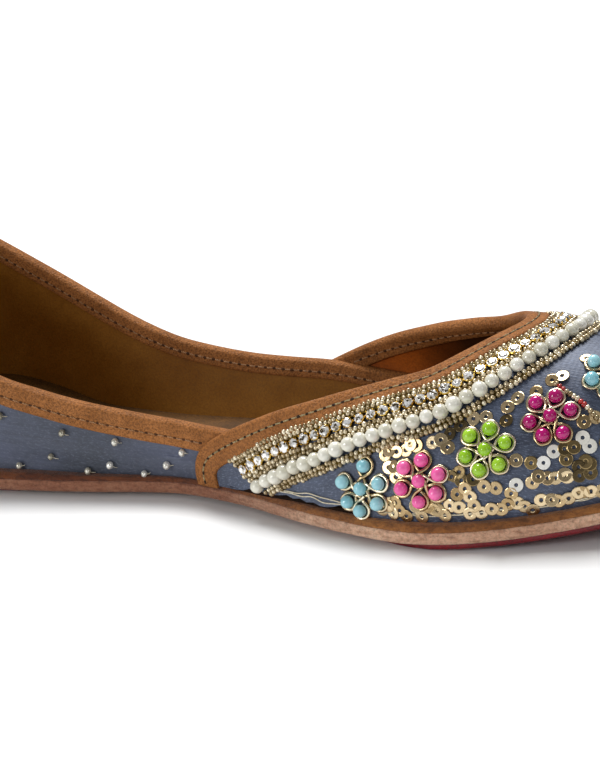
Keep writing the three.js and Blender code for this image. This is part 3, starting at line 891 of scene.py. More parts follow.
def bead(name, dark, light, rough=0.12, coat=0.6):
    """Moulded bead with a glossy skin: a deeper tone in some beads than in others, and
    faint clouds in each."""
    material, tree = new_material(name)
    where = add(tree, "TexCoord").outputs["Object"]
    cloud = add(tree, "TexNoise", {"Vector": where, "Scale": marks(1.667), "Detail": 3.0})
    body = by_tone(tree, cloud, 0.3, 1.7, ((0.0, dark), (1.0, light)))
    shine = add(tree, "MapRange", {0: cloud.outputs[0], 3: rough * 0.6, 4: rough * 1.6})
    relief = add(tree, "Bump", {"Height": cloud.outputs[0], "Strength": 0.08, "Distance": 0.0003})
    shader = add(tree, "BsdfPrincipled", {
        "Base Color": body, "Roughness": shine.outputs[0], "Normal": relief.outputs[0], "IOR": 1.5,
        "Coat Weight": coat, "Coat Roughness": 0.05,
    })
    add(tree, "OutputMaterial", {"Surface": shader.outputs[0]})
    return material


def pearl(name):
    """Pearl: creamy body under a clear skin, with faint rings and a cooler tone in the
    thick of the lacquer."""
    material, tree = new_material(name)
    where = add(tree, "TexCoord").outputs["Object"]
    cloud = add(tree, "TexNoise", {"Vector": where, "Scale": marks(2.38), "Detail": 3.0})
    body = by_tone(tree, cloud, 0.3, 1.7, ((0.0, "#cbc7b2"), (0.5, "#e2dfcf"), (1.0, "#eeece2")))
    relief = add(tree, "Bump", {"Height": cloud.outputs[0], "Strength": 0.06, "Distance": 0.0003})
    shader = add(tree, "BsdfPrincipled", {
        "Base Color": body, "Roughness": 0.2, "Normal": relief.outputs[0], "IOR": 1.68,
        "Coat Weight": 1.0, "Coat Roughness": 0.06,
    })
    add(tree, "OutputMaterial", {"Surface": shader.outputs[0]})
    return material


def lined_glass(name, deep, body_tone, bright):
    """Blown glass with a silvered hole: bright where the lining throws the light back,
    and darker in the depth of the glass."""
    material, tree = new_material(name)
    where = add(tree, "TexCoord").outputs["Object"]
    depth = add(tree, "TexNoise", {"Vector": where, "Scale": marks(0.667), "Detail": 2.0})
    body = by_tone(tree, depth, 0.3, 1.6, ((0.1, deep), (0.5, body_tone), (0.9, bright)))
    relief = add(tree, "Bump", {"Height": depth.outputs[0], "Strength": 0.1, "Distance": 0.0002})
    shader = add(tree, "BsdfPrincipled", {
        "Base Color": body, "Roughness": 0.16, "Normal": relief.outputs[0], "IOR": 1.52, "Metallic": 0.45,
        "Coat Weight": 1.0, "Coat Roughness": 0.05,
    })
    add(tree, "OutputMaterial", {"Surface": shader.outputs[0]})
    return material


def cut_stone(name):
    """Foil-backed cut glass: the facets are coloured by cell, some the foil's own grey-gold, some a painted
    white highlight and some a painted dark reflection.
    """
    material, tree = new_material(name)
    where = add(tree, "TexCoord").outputs["Object"]
    facet = add(tree, "TexVoronoi", {"Vector": where, "Scale": marks(0.5263)})
    share = add(tree, "SeparateColor", {0: facet.outputs["Color"]}).outputs[0]
    # Painted highlight and painted dark reflection on the facets, with the foil's own colour between.
    body = add(tree, "ValToRGB", {0: share},
               stops=((0.12, "#4d4026"), (0.3, "#b3a892"), (0.55, "#ffffff"))).outputs[0]
    relief = add(tree, "Bump", {"Height": share, "Strength": 0.25, "Distance": 0.0003})
    shader = add(tree, "BsdfPrincipled", {
        "Base Color": body, "Roughness": 0.05, "Normal": relief.outputs[0], "Metallic": 0.55,
        "IOR": 1.6, "Coat Weight": 1.0, "Coat Roughness": 0.02,
    })
    add(tree, "OutputMaterial", {"Surface": shader.outputs[0]})
    return material


def thread(name, dark, light):
    """Twisted thread with a slight shine."""
    material, tree = new_material(name)
    where = add(tree, "TexCoord").outputs["Object"]
    twist = add(tree, "TexNoise", {"Vector": where, "Scale": marks(0.556), "Detail": 3.0})
    body = add(tree, "ValToRGB", {0: twist.outputs[0]}, stops=((0.3, dark), (0.7, light))).outputs[0]
    relief = add(tree, "Bump", {"Height": twist.outputs[0], "Strength": 0.5, "Distance": 0.0002})
    shader = add(tree, "BsdfPrincipled", {
        "Base Color": body, "Roughness": 0.45, "Normal": relief.outputs[0], "Sheen Weight": 0.3,
    })
    add(tree, "OutputMaterial", {"Surface": shader.outputs[0]})
    return material


# The dress cloth: the vamp's is a little bluer and has more painted glints than the quarters'.
SATIN_QUARTER = satin("slate_satin", "#3a3f4a", "#50566a", "#7d8598", glints=0.3)
SATIN_VAMP = satin("slate_satin_vamp", "#394052", "#4e586e", "#8f9db8", glints=0.5)
# Milled hide for the bindings, pebbled and half matt; smooth brown linings; the insole.
TAN = leather("tan_leather", "#845227", "#a46b3b", grain_mm=0.7, rough=0.55, bump=0.8, shine_level=0.16)
LINING = leather("lining_leather", "#7d4e12", "#926222", grain_mm=1.1, rough=0.6, bump=0.1,
                 shine_level=0.15, speckle=0.3)
# The vamp lining's deep colour is painted shade, darkening it toward the toe under the throat.
LINING_VAMP = leather("vamp_lining_leather", "#7c3a0c", "#a75616", grain_mm=1.1, rough=0.6, bump=0.15,
                      shine_level=0.15, speckle=0.4, deep="#1c0d03")
INSOLE_LEATHER = leather("insole_leather", "#4a2f10", "#62411a", grain_mm=0.9, rough=0.6, bump=0.3,
                         shine_level=0.2)
# The two sole layers' cut edges, and the red-finished guards, which are a little glossy.
PALE_EDGE = cut_leather("pale_leather", "#c4967a", "#e6c0a2", "#a8795a")
DARK_EDGE = cut_leather("dark_leather", "#7d4820", "#b07337", "#4e280f")
RED = leather("red_leather", "#5a0c14", "#84151f", grain_mm=1.4, rough=0.35, coat=0.3, bump=0.25)
# Pale gilt wire, yellower chain cups, and plated gold sequins; some copies of the
# sequins are painted darker as shade in their reflection and some white as painted highlight.
GOLD = metal("gold_wire", "#c4ad84", "#f4e8cb", rough=0.24)
CUP_GOLD = metal("cup_gold", "#a87b23", "#e8c766", rough=0.2)
SEQUIN_GOLD = metal("sequin_gold", "#b0956a", "#e4cfa8", rough=0.26)
SEQUIN_SHADED = metal("painted_shade_sequins", "#5d5038", "#a08a60", rough=0.25)
SEQUIN_HIGHLIT = bead("highlit_sequins", "#d8d5ca", "#fbfaf6", rough=0.3, coat=0.5)
# Lacquered pearls, silver-lined seed beads, clear single beads, and moulded colour beads.
PEARL = pearl("pearl_beads")
SEED = lined_glass("glass_beads", "#7f6b42", "#b7a178", "#efe3c6")
CLEAR = lined_glass("clear_beads", "#77725f", "#bdb8a6", "#fbfaf4")
CORD = metal("couching_cord", "#54431b", "#8a7138", rough=0.4)
STONE = cut_stone("stone_glass")
BEADS = {
    "blue": bead("blue_beads", "#82c2d0", "#a8dbe4", coat=0.4),
    "pink": bead("pink_beads", "#ea4f9c", "#ff78ba", coat=0.4),
    "green": bead("green_beads", "#86bb12", "#abda3a", coat=0.4),
    "magenta": bead("magenta_beads", "#9c0056", "#c2047a", coat=0.4),
}
RED_BEAD = bead("red_beads", "#8f1a1a", "#cc4038")
# Threads, and painted shade for the needle holes and for the gap under the loose cloth.
STITCH_THREAD = thread("stitch_thread", "#6f5d33", "#b5a473")
BROWN_THREAD = thread("brown_thread", "#86592f", "#b07f4d")
PALE_THREAD = thread("pale_thread", "#c4b795", "#f2ead2")
# Painted shade for the gap under the loose cloth's edge.
GAP_SHADE = leather("painted_gap_shade", "#120905", "#24140b", grain_mm=0.8, rough=0.85, shine_level=0.1)
# Needle holes: flat dark marks, painted shade for the holes.
HOLE = leather("needle_hole", "#1f1308", "#35220f", grain_mm=0.5, rough=0.8)
BROWN_HOLE = leather("brown_needle_hole", "#3c220d", "#5a3517", grain_mm=0.5, rough=0.8)

# ------------------------------------------------------------------ sole and its layers

SOLE_RING = np.concatenate([SOLE[-1], SOLE[1][-2:0:-1]])
LAST_OUTLINE = np.concatenate([LAST[-1], LAST[1][-2:0:-1]])


def ring_piece(name, outline, profile, material, rough=0.0, every=1):
    """A flat layer with the outline's shape. The profile goes from under the middle,
    round the edge, to over the middle: inset and height functions."""
    ring = outline[::every]
    spine_x = np.clip(ring[:, 0], SPINE_HEEL, SPINE_TOE)
    spine = np.stack([spine_x, column(SECTIONS, "centre", spine_x)], 1)
    inward = unit(spine - ring)
    loops = []
    for inset, height in profile:
        depth = inset(ring[:, 0], ring[:, 1])[:, None] if callable(inset) else inset
        flat = spine if inset is None else ring + inward * depth
        points = np.concatenate([flat, height(flat[:, 0])[:, None]], 1)
        if rough and inset is not None:
            for k, p in enumerate(points):
                coarse = noise.noise(Vector(p) * 0.35)
                fine = noise.noise(Vector(p) * 1.6 + Vector((7, 1, 3)))
                shift = rough * (0.6 * coarse + 0.6 * fine)
                points[k, :2] += inward[k] * shift
        loops.append(points)
    net_points = np.stack(loops, 1)
    faces = net(net_points, closed_rows=True)
    return new_piece(name, net_points.reshape(-1, 3), faces, material)


def lifted(height, up):
    """A height function raised by a distance."""
    return lambda x: height(x) + up


def between(low, high, share):
    """A height function a share of the way from one to another."""
    return lambda x: low(x) * (1 - share) + high(x) * share


outsole = ring_piece("cut_outsole", SOLE_RING, [
    (None, outsole_bottom), (8.0, outsole_bottom), (0.7, outsole_bottom), (0.25, lifted(outsole_bottom, 0.1)),
    (0.05, lifted(outsole_bottom, 0.4)), (0.0, lifted(outsole_bottom, 0.9)),
    (0.0, lifted(outsole_bottom, 1.4)), (0.0, lifted(outsole_bottom, 1.9)),
    (0.06, lifted(outsole_bottom, 2.4)), (0.25, lifted(outsole_bottom, 2.7)),
    (0.6, outsole_top), (8.0, outsole_top), (None, outsole_top),
], PALE_EDGE, rough=0.16)
smooth_by_angle(outsole, 60)
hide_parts("outsole")


def rand_inset(share):
    """The rand leans in as it rises, least at the waist."""
    return lambda x, side: 0.35 + share * (1.3 - 0.9 * waist(x))


midsole = ring_piece("rough_rand", SOLE_RING, [
    (None, outsole_top), (6.0, outsole_top), (rand_inset(0.0), lifted(outsole_top, -0.1)),
    (rand_inset(0.15), between(outsole_top, midsole_top, 0.3)),
    (rand_inset(0.45), between(outsole_top, midsole_top, 0.6)),
    (rand_inset(0.75), between(outsole_top, midsole_top, 0.9)),
    (rand_inset(1.3), lifted(midsole_top, 0.0)), (6.0, midsole_top), (None, midsole_top),
], DARK_EDGE, rough=0.3)
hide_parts("midsole")


def foot_inset(more):
    """The insole reaches the lining where the last tucks in."""
    def inset(x, side):
        tuck = np.where(side < 0, column(SECTIONS, "tuck_medial", x), column(SECTIONS, "tuck_lateral", x))
        return 1.2 + 0.8 * tuck + more
    return inset


def padded(up):
    """The insole's top over the heel pad, which ends softly in front of the heel."""
    return lambda x: insole_top(x) + HEEL_RISE * (ease(*RISE_END, x) - ease(*PAD_END, x)) + up


insole = ring_piece("leather_insole", LAST_OUTLINE, [
    (None, midsole_top), (foot_inset(1.0), midsole_top), (foot_inset(0.1), lifted(midsole_top, 0.3)),
    (foot_inset(0.0), padded(-0.35)), (foot_inset(0.3), padded(-0.08)),
    (foot_inset(1.3), padded(0.0)), (foot_inset(5.0), padded(0.0)), (None, padded(0.0)),
], INSOLE_LEATHER, every=2)
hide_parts("insole")


def cut_across(piece, x, keep_front):
    """Cuts a piece off square at x."""
    pick_out(piece)
    bpy.ops.object.mode_set(mode="EDIT")
    bpy.ops.mesh.select_all(action="SELECT")
    bpy.ops.mesh.bisect(plane_co=((x - LENGTH / 2) * MM, 0, 0), plane_no=(1, 0, 0), use_fill=True,
                        clear_inner=keep_front, clear_outer=not keep_front)
    bpy.ops.object.mode_set(mode="OBJECT")
    piece.select_set(False)


def guard_inset(more):
    """The guards are skived back at the waist and come out to the edge under the ball."""
    return lambda x, side: more + 2.6 * (1 - ease(158, 178, x)) * ease(20, 60, x)


def guard_piece(name, x, keep_front):
    """A thin red guard under the sole, cut off square at x."""
    piece = ring_piece(name, SOLE_RING, [
        (None, spring), (6.0, spring), (guard_inset(0.75), spring), (guard_inset(0.5), lifted(spring, 0.25)),
        (guard_inset(0.4), lifted(spring, 0.7)), (guard_inset(0.45), lifted(spring, GUARD)),
        (6.0, lifted(spring, GUARD + 0.05)), (None, lifted(spring, GUARD + 0.05)),
    ], RED, rough=0.14, every=2)
    cut_across(piece, x, keep_front)
    smooth_by_angle(piece, 50)
    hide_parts(name.replace("red_", ""))


guard_piece("red_heel_guard", HEEL_GUARD_END, False)
guard_piece("red_forepart_guard", FORE_GUARD_START, True)

# -------------------------------------------------------------------- upper's layers


def cloth_map(piece):
    """Lays the cloth's threads along the shoe and across it, in metres."""
    mesh = piece.data
    layer = mesh.uv_layers.new(name="cloth")
    points = np.array([v.co for v in mesh.vertices])
    corner = np.zeros(len(mesh.loops), np.int32)
    mesh.loops.foreach_get("vertex_index", corner)
    laid = np.stack([points[:, 0], points[:, 2] - np.abs(points[:, 1])], 1)
    layer.data.foreach_set("uv", laid[corner].ravel())


# Soft folds: x and z of both ends, height and half width in mm. A minus height is a trough.
QUARTER_FOLDS = (
    (90, 12.6, 113, 10.6, 0.5, 1.1), (93, 10.8, 114, 8.4, -0.4, 1.0), (97, 9.0, 115, 6.4, 0.5, 1.1),
    (101, 14.2, 113, 13.4, 0.4, 1.0), (66, 11.6, 84, 9.6, 0.34, 1.6), (52, 8.6, 76, 6.8, -0.3, 1.5),
    (30, 20.0, 52, 13.0, 0.22, 2.2), (14, 24.0, 22, 9.0, -0.2, 2.0), (60, 15.6, 82, 12.0, -0.18, 1.4),
)
VAMP_FOLDS = (
    (132, 9.0, 146, 12.4, 0.26, 1.1), (136, 7.4, 150, 9.0, -0.2, 1.0), (160, 13.0, 170, 18.0, 0.24, 1.2),
    (168, 10.5, 184, 15.0, 0.22, 1.3), (183, 17.0, 191, 22.5, -0.22, 1.2), (196, 12.0, 208, 15.0, 0.22, 1.4),
    (204, 17.0, 212, 20.5, -0.2, 1.3), (214, 10.0, 226, 12.0, 0.2, 1.4),
)


def folded(folds):
    """How far soft folds lift or sink each grid point."""
    here = LAST_GRID[..., (0, 2)]
    rise = np.zeros(here.shape[:2])
    for x, z, end_x, end_z, height, half in folds:
        start, way = np.array([x, z]), np.array([end_x - x, end_z - z])
        share = ((here - start) @ way / (way @ way)).clip(0, 1)
        away = np.linalg.norm(here - start - share[..., None] * way, axis=-1)
        swell = 0.35 + 0.65 * np.sin(math.pi * share) ** 0.7
        rise += height * swell * np.exp(-((away / half) ** 2))
    return rise


# Along the vamp's foot: where the ragged gap and the loose edge over it begin and end.
GAP_START, GAP_END = (119, 126), (152, 162)
LOOSE_START, LOOSE_END = (119, 130), (150, 166)


def torn_foot():
    """Distance above the vamp's lower edge, which has come away from the sole in a short
    ragged gap behind the ball on the medial side."""
    above = OVER_LAST[:, :1] - OVER_LAST
    x = RING_FEET[:, 0]
    gap = 1.4 * ease(*GAP_START, x) * (1 - ease(*GAP_END, x)) * (0.8 + 0.2 * np.sin(x * 0.42))
    ragged = np.array([noise.noise(Vector((a * 0.7, 3.0, 1.0))) for a in x])
    gap = np.where((RING_SIDE < 0) & (x > 118.5) & (x < 162), gap + 0.8 * ragged, -1.0)
    return above - gap[:, None]


def hanging_out(side, x, above):
    """How far the loose lower edge hangs out over the sole."""
    window = ease(*LOOSE_START, x) * (1 - ease(*LOOSE_END, x)) * (np.asarray(side) < 0)
    return 1.9 * window * np.exp(-above / 4.5)


TORN_FOOT = torn_foot()
LOOSE = hanging_out(RING_SIDE[:, None], RING_FEET[:, :1], OVER_LAST[:, :1] - OVER_LAST)
quarter_cover = skin("satin_quarters", grid(folded(QUARTER_FOLDS)), grid(-0.9),
                     [BELOW_COLLAR, BEHIND_FRONT], SATIN_QUARTER)
skin("quarter_lining", grid(-0.9), grid(-1.8), [BELOW_COLLAR, BEHIND_FRONT], LINING)
vamp_cover = skin("satin_vamp", grid(VAMP_OUT + LOOSE + folded(VAMP_FOLDS)), grid(0.7 + LOOSE),
                  [BEYOND_THROAT, TORN_FOOT], SATIN_VAMP)
skin("vamp_lining", grid(0.7 + LOOSE), grid(VAMP_IN + LOOSE), [BEYOND_THROAT, TORN_FOOT - 0.3],
     LINING_VAMP)
for piece in (quarter_cover, vamp_cover):
    cloth_map(piece)
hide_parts("upper")

# ---------------------------------------------------------------------------- bindings

COLLAR_WIDTH = 5.1
COLLAR_INSIDE = 3.8
COLLAR_STITCH = 2.7
COLLAR_INSIDE_STITCH = 2.0
# The width of the binding, x being the distance from the front of the throat: wider on the wings.
THROAT_WIDTH = table("x width", (0, 4.3), (40, 4.3), (58, 5.1), (75, 5.4), (110, 5.4))
THROAT_INSIDE = 3.9
THROAT_STITCH = 1.9
THROAT_INSIDE_STITCH = 1.6
THROAT_TREE = surface(VAMP_OUT + LOOSE)
COLLAR_TREE = surface(0.0)
throat_line = flat_to_last(THROAT_FLAT, VAMP_OUT, step=0.8, sunk=1.6)
throat_points, throat_normals = laid_out(THROAT_TREE, throat_line, inward=-1, reach=6.5)
throat_away = distances(throat_line)
throat_away = np.abs(throat_away - throat_away[np.argmax(throat_line[:, 0])])
throat_width = column(THROAT_WIDTH, "width", throat_away)
collar_line = collar_edge(off=0.0, step=0.8)
collar_points, collar_normals = laid_out(COLLAR_TREE, collar_line, inward=1, reach=COLLAR_WIDTH + 1)

strip = folded_strip(throat_points, throat_normals, VAMP_OUT - VAMP_IN, BINDING, throat_width, THROAT_INSIDE,
                     THROAT_STITCH)
throat_strip = strip_piece("throat_strip", strip, TAN)
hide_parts("throat_binding")
strip = folded_strip(collar_points, collar_normals, QUARTER_WALL, BINDING, COLLAR_WIDTH, COLLAR_INSIDE,
                     COLLAR_STITCH)
collar_strip = strip_piece("collar_strip", strip, TAN)
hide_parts("collar_binding")

# ----------------------------------------------------------------------------- sewing


def tube(line, radius, sides):
    """Points and faces of a round tube along a line; radius is one number or one each."""
    line = np.array(line, float)
    ahead = unit(np.gradient(line, axis=0))
    up = np.array([0.0, 0.0, 1.0])
    first = unit(np.cross(ahead, up + 0.01))
    second = np.cross(ahead, first)
    turn = np.arange(sides) * 2 * math.pi / sides
    radius = np.broadcast_to(radius, len(line))[:, None, None]
    ring = np.cos(turn)[None, :, None] * first[:, None] + np.sin(turn)[None, :, None] * second[:, None]
    points = line[:, None] + radius * ring
    faces = net(points, closed_columns=True)
    count = len(line)
    faces.append(list(range(sides))[::-1])
    faces.append([(count - 1) * sides + c for c in range(sides)])
    return points.reshape(-1, 3), faces


def ball(radius, segments, rings, flat):
    """A round bead whose hole runs along x."""
    return model_shape(bpy.ops.mesh.primitive_uv_sphere_add, segments=segments, ring_count=rings,
                       radius=radius * MM, rotation=(0, math.pi / 2, 0), scale=(1, 1, flat))


def joined_shape(*shapes):
    """Several shapes' points and faces as one."""
    points, faces, start = [], [], 0
    for p, f in shapes:
        faces += [[v + start for v in face] for face in f]
        points.append(p)
        start += len(p)
    return np.concatenate(points), faces


def sewn_thread(name, lines, radius, material):
    """Threads of one thickness, joined in one piece."""
    points, faces = joined_shape(*(tube(line, radius, 5) for line in lines))
    return new_piece(name, points, faces, material)


def stitch_shape():
    """One stitch: two plies twisted round each other, dipping into the leather at its ends."""
    parts = []
    for ply in (0, math.pi):
        t = np.linspace(0, 1, 11)
        x = (t - 0.5) * 1.6
        arch = 0.16 * np.sin(t * math.pi) - 0.1
        turn = t * math.pi * 2.4 + ply
        line = np.stack([x, 0.1 * np.cos(turn), arch + 0.1 * np.sin(turn)], 1)
        parts.append(tube(line, 0.115, 5))
    return joined_shape(*parts)


STITCH = stitch_shape()
# Each needle hole is a flat dark mark, painted shade for the hole.
HOLE_SHAPE = model_shape(bpy.ops.mesh.primitive_uv_sphere_add, segments=8, ring_count=4, radius=1 * MM,
                         scale=(0.5, 0.34, 0.1))


def at_depth(points, d):
    """The line across a chart at a distance from its edge."""
    k = min(int(d / CHART_STEP), points.shape[1] - 2)
    t = d / CHART_STEP - k
    return points[:, k] * (1 - t) + points[:, k + 1] * t


def seam(name, points, normals, d, lift, thread_material, hole_shade, skip, pitch=2.35, inner=False):
    """A row of stitches and their needle holes along a folded strip, at a distance d from
    its edge. skip is left unsewn at both ends."""
    line, up = at_depth(points, d), at_depth(normals, d)
    line = line + up * lift
    up = -up if inner else up
    rows = np.concatenate([line, up], 1)
    away = distances(line)
    chance = random.Random(len(name))
    stitches, holes = [], []

    def pick(s):
        row = np.array([np.interp(s, away, rows[:, k]) for k in range(6)])
        return row[:3], unit(row[3:])

    for start in np.arange(skip, away[-1] - skip - pitch, pitch):
        middle = start + pitch * 0.6 + chance.uniform(-0.06, 0.06)
        (a, _), (p, n), (b, _) = pick(middle - 0.4), pick(middle), pick(middle + 0.4)
        lean = np.cross(n, unit(b - a)) * chance.uniform(-0.08, 0.02)
        stitches.append((p, unit(b - a) + lean, n, chance.uniform(0.93, 1.05)))
        h, m = pick(start + pitch * 0.1)
        holes.append((h, unit(b - a), m, chance.uniform(0.85, 1.15)))
    copies(name + "_stitches", STITCH, stitches, thread_material, seed=5)
    copies(name + "_holes", HOLE_SHAPE, holes, hole_shade, seed=6)


seam("collar_outside", collar_points, collar_normals, COLLAR_STITCH, BINDING - 0.1, BROWN_THREAD,
     BROWN_HOLE, pitch=2.5, skip=34)
seam("collar_inside", collar_points, collar_normals, COLLAR_INSIDE_STITCH, -QUARTER_WALL - BINDING - 0.02,
     BROWN_THREAD, BROWN_HOLE, inner=True, skip=8)
seam("throat_outside", throat_points, throat_normals, THROAT_STITCH, BINDING - 0.1, STITCH_THREAD,
     HOLE, skip=1.5)
seam("throat_inside", throat_points, throat_normals, THROAT_INSIDE_STITCH,
     VAMP_IN - VAMP_OUT - BINDING - 0.02, BROWN_THREAD, BROWN_HOLE, inner=True, skip=22)

# ------------------------------------------------------------------------- bead bands

band_line = flat_to_last(BAND_FLAT, VAMP_OUT, step=0.8)
band_points, band_normals = laid_out(THROAT_TREE, band_line, inward=-1, reach=64)
band_away = distances(band_line)
band_away -= band_away[np.argmax(band_line[:, 0])]


def spot(s, d):
    """A place on the vamp: s along the throat from its front, medial side negative, and
    d from the throat edge. Gives the point, the normal and the direction of s."""
    i = np.clip(np.interp(s, band_away, np.arange(len(band_away))), 0, len(band_away) - 1.001)
    j = np.clip(d / CHART_STEP, 0, band_points.shape[1] - 1.001)
    a, b = int(i), int(j)
    t, u = i - a, j - b

    def mix(chart):
        low = chart[a, b] * (1 - t) + chart[a + 1, b] * t
        high = chart[a, b + 1] * (1 - t) + chart[a + 1, b + 1] * t
        return low * (1 - u) + high * u

    return mix(band_points), unit(mix(band_normals)), unit(band_points[a + 1, b] - band_points[a, b])


# How much farther than at the side the bands lie from the throat edge, by distance
# from its front.
DRIFT = table("x more", (0, 1.2), (10, 1.1), (22, 0.7), (42, 0.0), (60, 0.2), (72, 0.7), (82, 1.6), (90, 2.2))


def strand(base, start, pitch):
    """Places of the beads of one strand from wing to wing, evenly spaced."""
    line = []
    for s in np.arange(-start, start + 0.01, 0.4):
        point, normal, _ = spot(s, base + column(DRIFT, "more", abs(s)))
        line.append(np.concatenate([point, normal]))
    line = resampled(np.array(line), 0.25)
    length = distances(line[:, :3])
    places = np.arange(pitch / 2, length[-1], pitch)
    rows = np.stack([np.interp(places, length, line[:, k]) for k in range(6)], 1)
    along = unit(np.gradient(rows[:, :3], axis=0))
    return rows[:, :3], unit(rows[:, 3:]), along


def strung(base, start, pitch, lift, uneven, seed, phase=0.0):
    """Beads strung along a strand, none of them quite in line."""
    chance = random.Random(seed)
    places = []
    points, normals, along = strand(base, start, pitch)
    for p, n, t in zip(points, normals, along):
        across = np.cross(n, t)
        slip = across * chance.uniform(-uneven, uneven)
        slip = slip + t * (phase * pitch + chance.uniform(-uneven, uneven) / 2)
        lean = t + across * chance.uniform(-0.3, 0.3)
        places.append((p + slip + n * (lift + chance.uniform(-uneven, uneven) / 2), unit(lean), n,
                       chance.uniform(0.9, 1.12)))
    return places


STONE_LINE = 7.0
PEARL_LINE = 12.2
SEED_SHAPE = ball(0.67, segments=10, rings=6, flat=0.82)
seeds, cords = [], []
for number, (base, start, pitch) in enumerate((
        (STONE_LINE - 2.95, 84.5, 1.2), (STONE_LINE - 1.85, 84.0, 1.23),
        (STONE_LINE + 1.85, 82.0, 1.23), (STONE_LINE + 3.0, 81.0, 1.2),
        (PEARL_LINE + 2.05, 77.0, 1.23), (PEARL_LINE + 3.2, 76.0, 1.2))):
    seeds += strung(base, start, pitch, lift=0.55, uneven=0.23, seed=number, phase=0.5 * (number % 2))
    for more in (0.0, 0.55) if base < PEARL_LINE + 3 else (-0.2,):
        points, normals, _ = strand(base + more, start - 0.8, 0.9)
        cords.append(points + normals * 0.22)
copies("seed_strands", SEED_SHAPE, seeds, SEED, seed=11)
# The olive-gold cord each strand is couched over shows between its beads.
sewn_thread("seed_cords", cords, 0.5, CORD)

PEARL_SHAPE = ball(1.74, segments=20, rings=12, flat=0.98)
pearls = strung(PEARL_LINE, start=79.0, pitch=3.28, lift=1.5, uneven=0.14, seed=21)
copies("pearl_strand", PEARL_SHAPE, pearls, PEARL, seed=12)


def cup_shape():
    """A cup of the chain, with four claws over the stone's edge and a link to the next."""
    cup = model_shape(bpy.ops.mesh.primitive_cylinder_add, vertices=14, radius=1.4 * MM, depth=0.9 * MM,
                      location=(0, 0, 0.45 * MM))
    claws = []
    for turn in (45, 135, 225, 315):
        x, y = 1.27 * math.cos(math.radians(turn)), 1.27 * math.sin(math.radians(turn))
        claws.append(model_shape(bpy.ops.mesh.primitive_uv_sphere_add, segments=6, ring_count=4,
                                 radius=0.26 * MM, location=(x * MM, y * MM, 0.98 * MM)))
    link = model_shape(bpy.ops.mesh.primitive_cylinder_add, vertices=8, radius=0.3 * MM, depth=0.7 * MM,
                       location=(1.5 * MM, 0, 0.5 * MM), rotation=(0, math.pi / 2, 0))
    return joined_shape(cup, *claws, link)


def stone_shape():
    """A round cut stone: girdle, crown facets and table."""
    low = model_shape(bpy.ops.mesh.primitive_cone_add, vertices=12, radius1=1.32 * MM, radius2=1.18 * MM,
                      depth=0.25 * MM, location=(0, 0, 0.95 * MM))
    high = model_shape(bpy.ops.mesh.primitive_cone_add, vertices=7, radius1=1.2 * MM, radius2=0.68 * MM,
                       depth=0.34 * MM, location=(0, 0, 1.22 * MM))
    return joined_shape(low, high)


chain = strung(STONE_LINE, start=82.0, pitch=3.0, lift=0.1, uneven=0.1, seed=31)
copies("chain_cups", cup_shape(), chain, CUP_GOLD, seed=13)
copies("chain_stones", stone_shape(), chain, STONE, smooth=False, seed=14)

# ---------------------------------------------------------------------------- flowers

# s and d of each flower's middle on the medial side, the turns of its six petals, how
# far out they stand, and its colour. The lateral side has the same flowers mirrored, and
# one more stands at the front.
FLOWERS = (
    (-47.9, 22.2, (-4, 59, 144, 202, 244, 304), 5.0, "blue"),
    (-34.0, 25.4, (4, 64, 124, 184, 244, 304), 4.6, "pink"),
    (-25.4, 25.4, (-16, 48, 110, 168, 222, 282), 4.5, "green"),
    (-14.6, 28.0, (-22, 36, 100, 156, 212, 272), 4.5, "magenta"),
    (-4.7, 29.0, (-26, 34, 94, 154, 214, 274), 4.6, "blue"),
)


def petal_loop():
    """A loop of coiled wire round one petal bead, crossing itself near the flower's
    middle. The flower's middle lies 4.55 mm along -x."""
    knots = [
        (-3.6, 0.85, 1.0), (-2.8, 0.2, 1.05), (-1.75, -1.0, 0.6), (-0.7, -1.7, 0.45),
        (0.45, -1.85, 0.45), (1.4, -1.3, 0.45), (2.05, 0.0, 0.45), (1.4, 1.3, 0.45),
        (0.45, 1.85, 0.45), (-0.7, 1.7, 0.45), (-1.75, 1.0, 0.6), (-2.8, -0.2, 0.5),
        (-3.6, -0.85, 0.6),
    ]
    line = resampled(smooth_curve(knots), 0.16)
    coil = np.where(np.arange(len(line)) % 2 == 0, 0.5, 0.39)
    return tube(line, coil, 6)


LOOP = petal_loop()
# How far the middle and the petal beads' holes lie off the cloth.
MIDDLE_LIFT = 1.65
PETAL_LIFT = 1.5
BEAD = ball(1.58, segments=18, rings=12, flat=0.96)
beads = {name: [] for name in BEADS}
loops = []
chance = random.Random(41)


def put_flower(s, d, turns, reach, name, mirrored=False):
    """A flower's seven beads, and the wire loops round its petals."""
    middle, normal, along = spot(s, d)
    away = np.cross(along, normal)
    beads[name].append((middle + normal * MIDDLE_LIFT, along, normal, 1.0))
    for turn in turns:
        angle = math.radians((180 - turn if mirrored else turn) + chance.uniform(-4, 4))
        outward = math.cos(angle) * along - math.sin(angle) * away
        found = THROAT_TREE.find_nearest(Vector(middle + outward * reach * chance.uniform(0.96, 1.04)))
        point, up = np.array(found[0]), np.array(found[1])
        if up @ normal < 0:
            up = -up
        outward = unit(outward - up * (outward @ up))
        beads[name].append((point + up * PETAL_LIFT, outward, up, chance.uniform(0.96, 1.04)))
        loops.append((point + up * chance.uniform(0.0, 0.15), outward, up, chance.uniform(0.96, 1.03)))


for s, d, turns, reach, name in FLOWERS:
    put_flower(s, d, turns, reach, name)
    put_flower(-s, d, turns, reach, name, mirrored=True)
put_flower(0.0, 42.0, range(30, 390, 60), 4.6, "pink")
for name, places in beads.items():
    copies("flower_beads_" + name, BEAD, places, BEADS[name], seed=51)
copies("wire_loops", LOOP, loops, GOLD, seed=52)

# ---------------------------------------------------------------------------- sequins

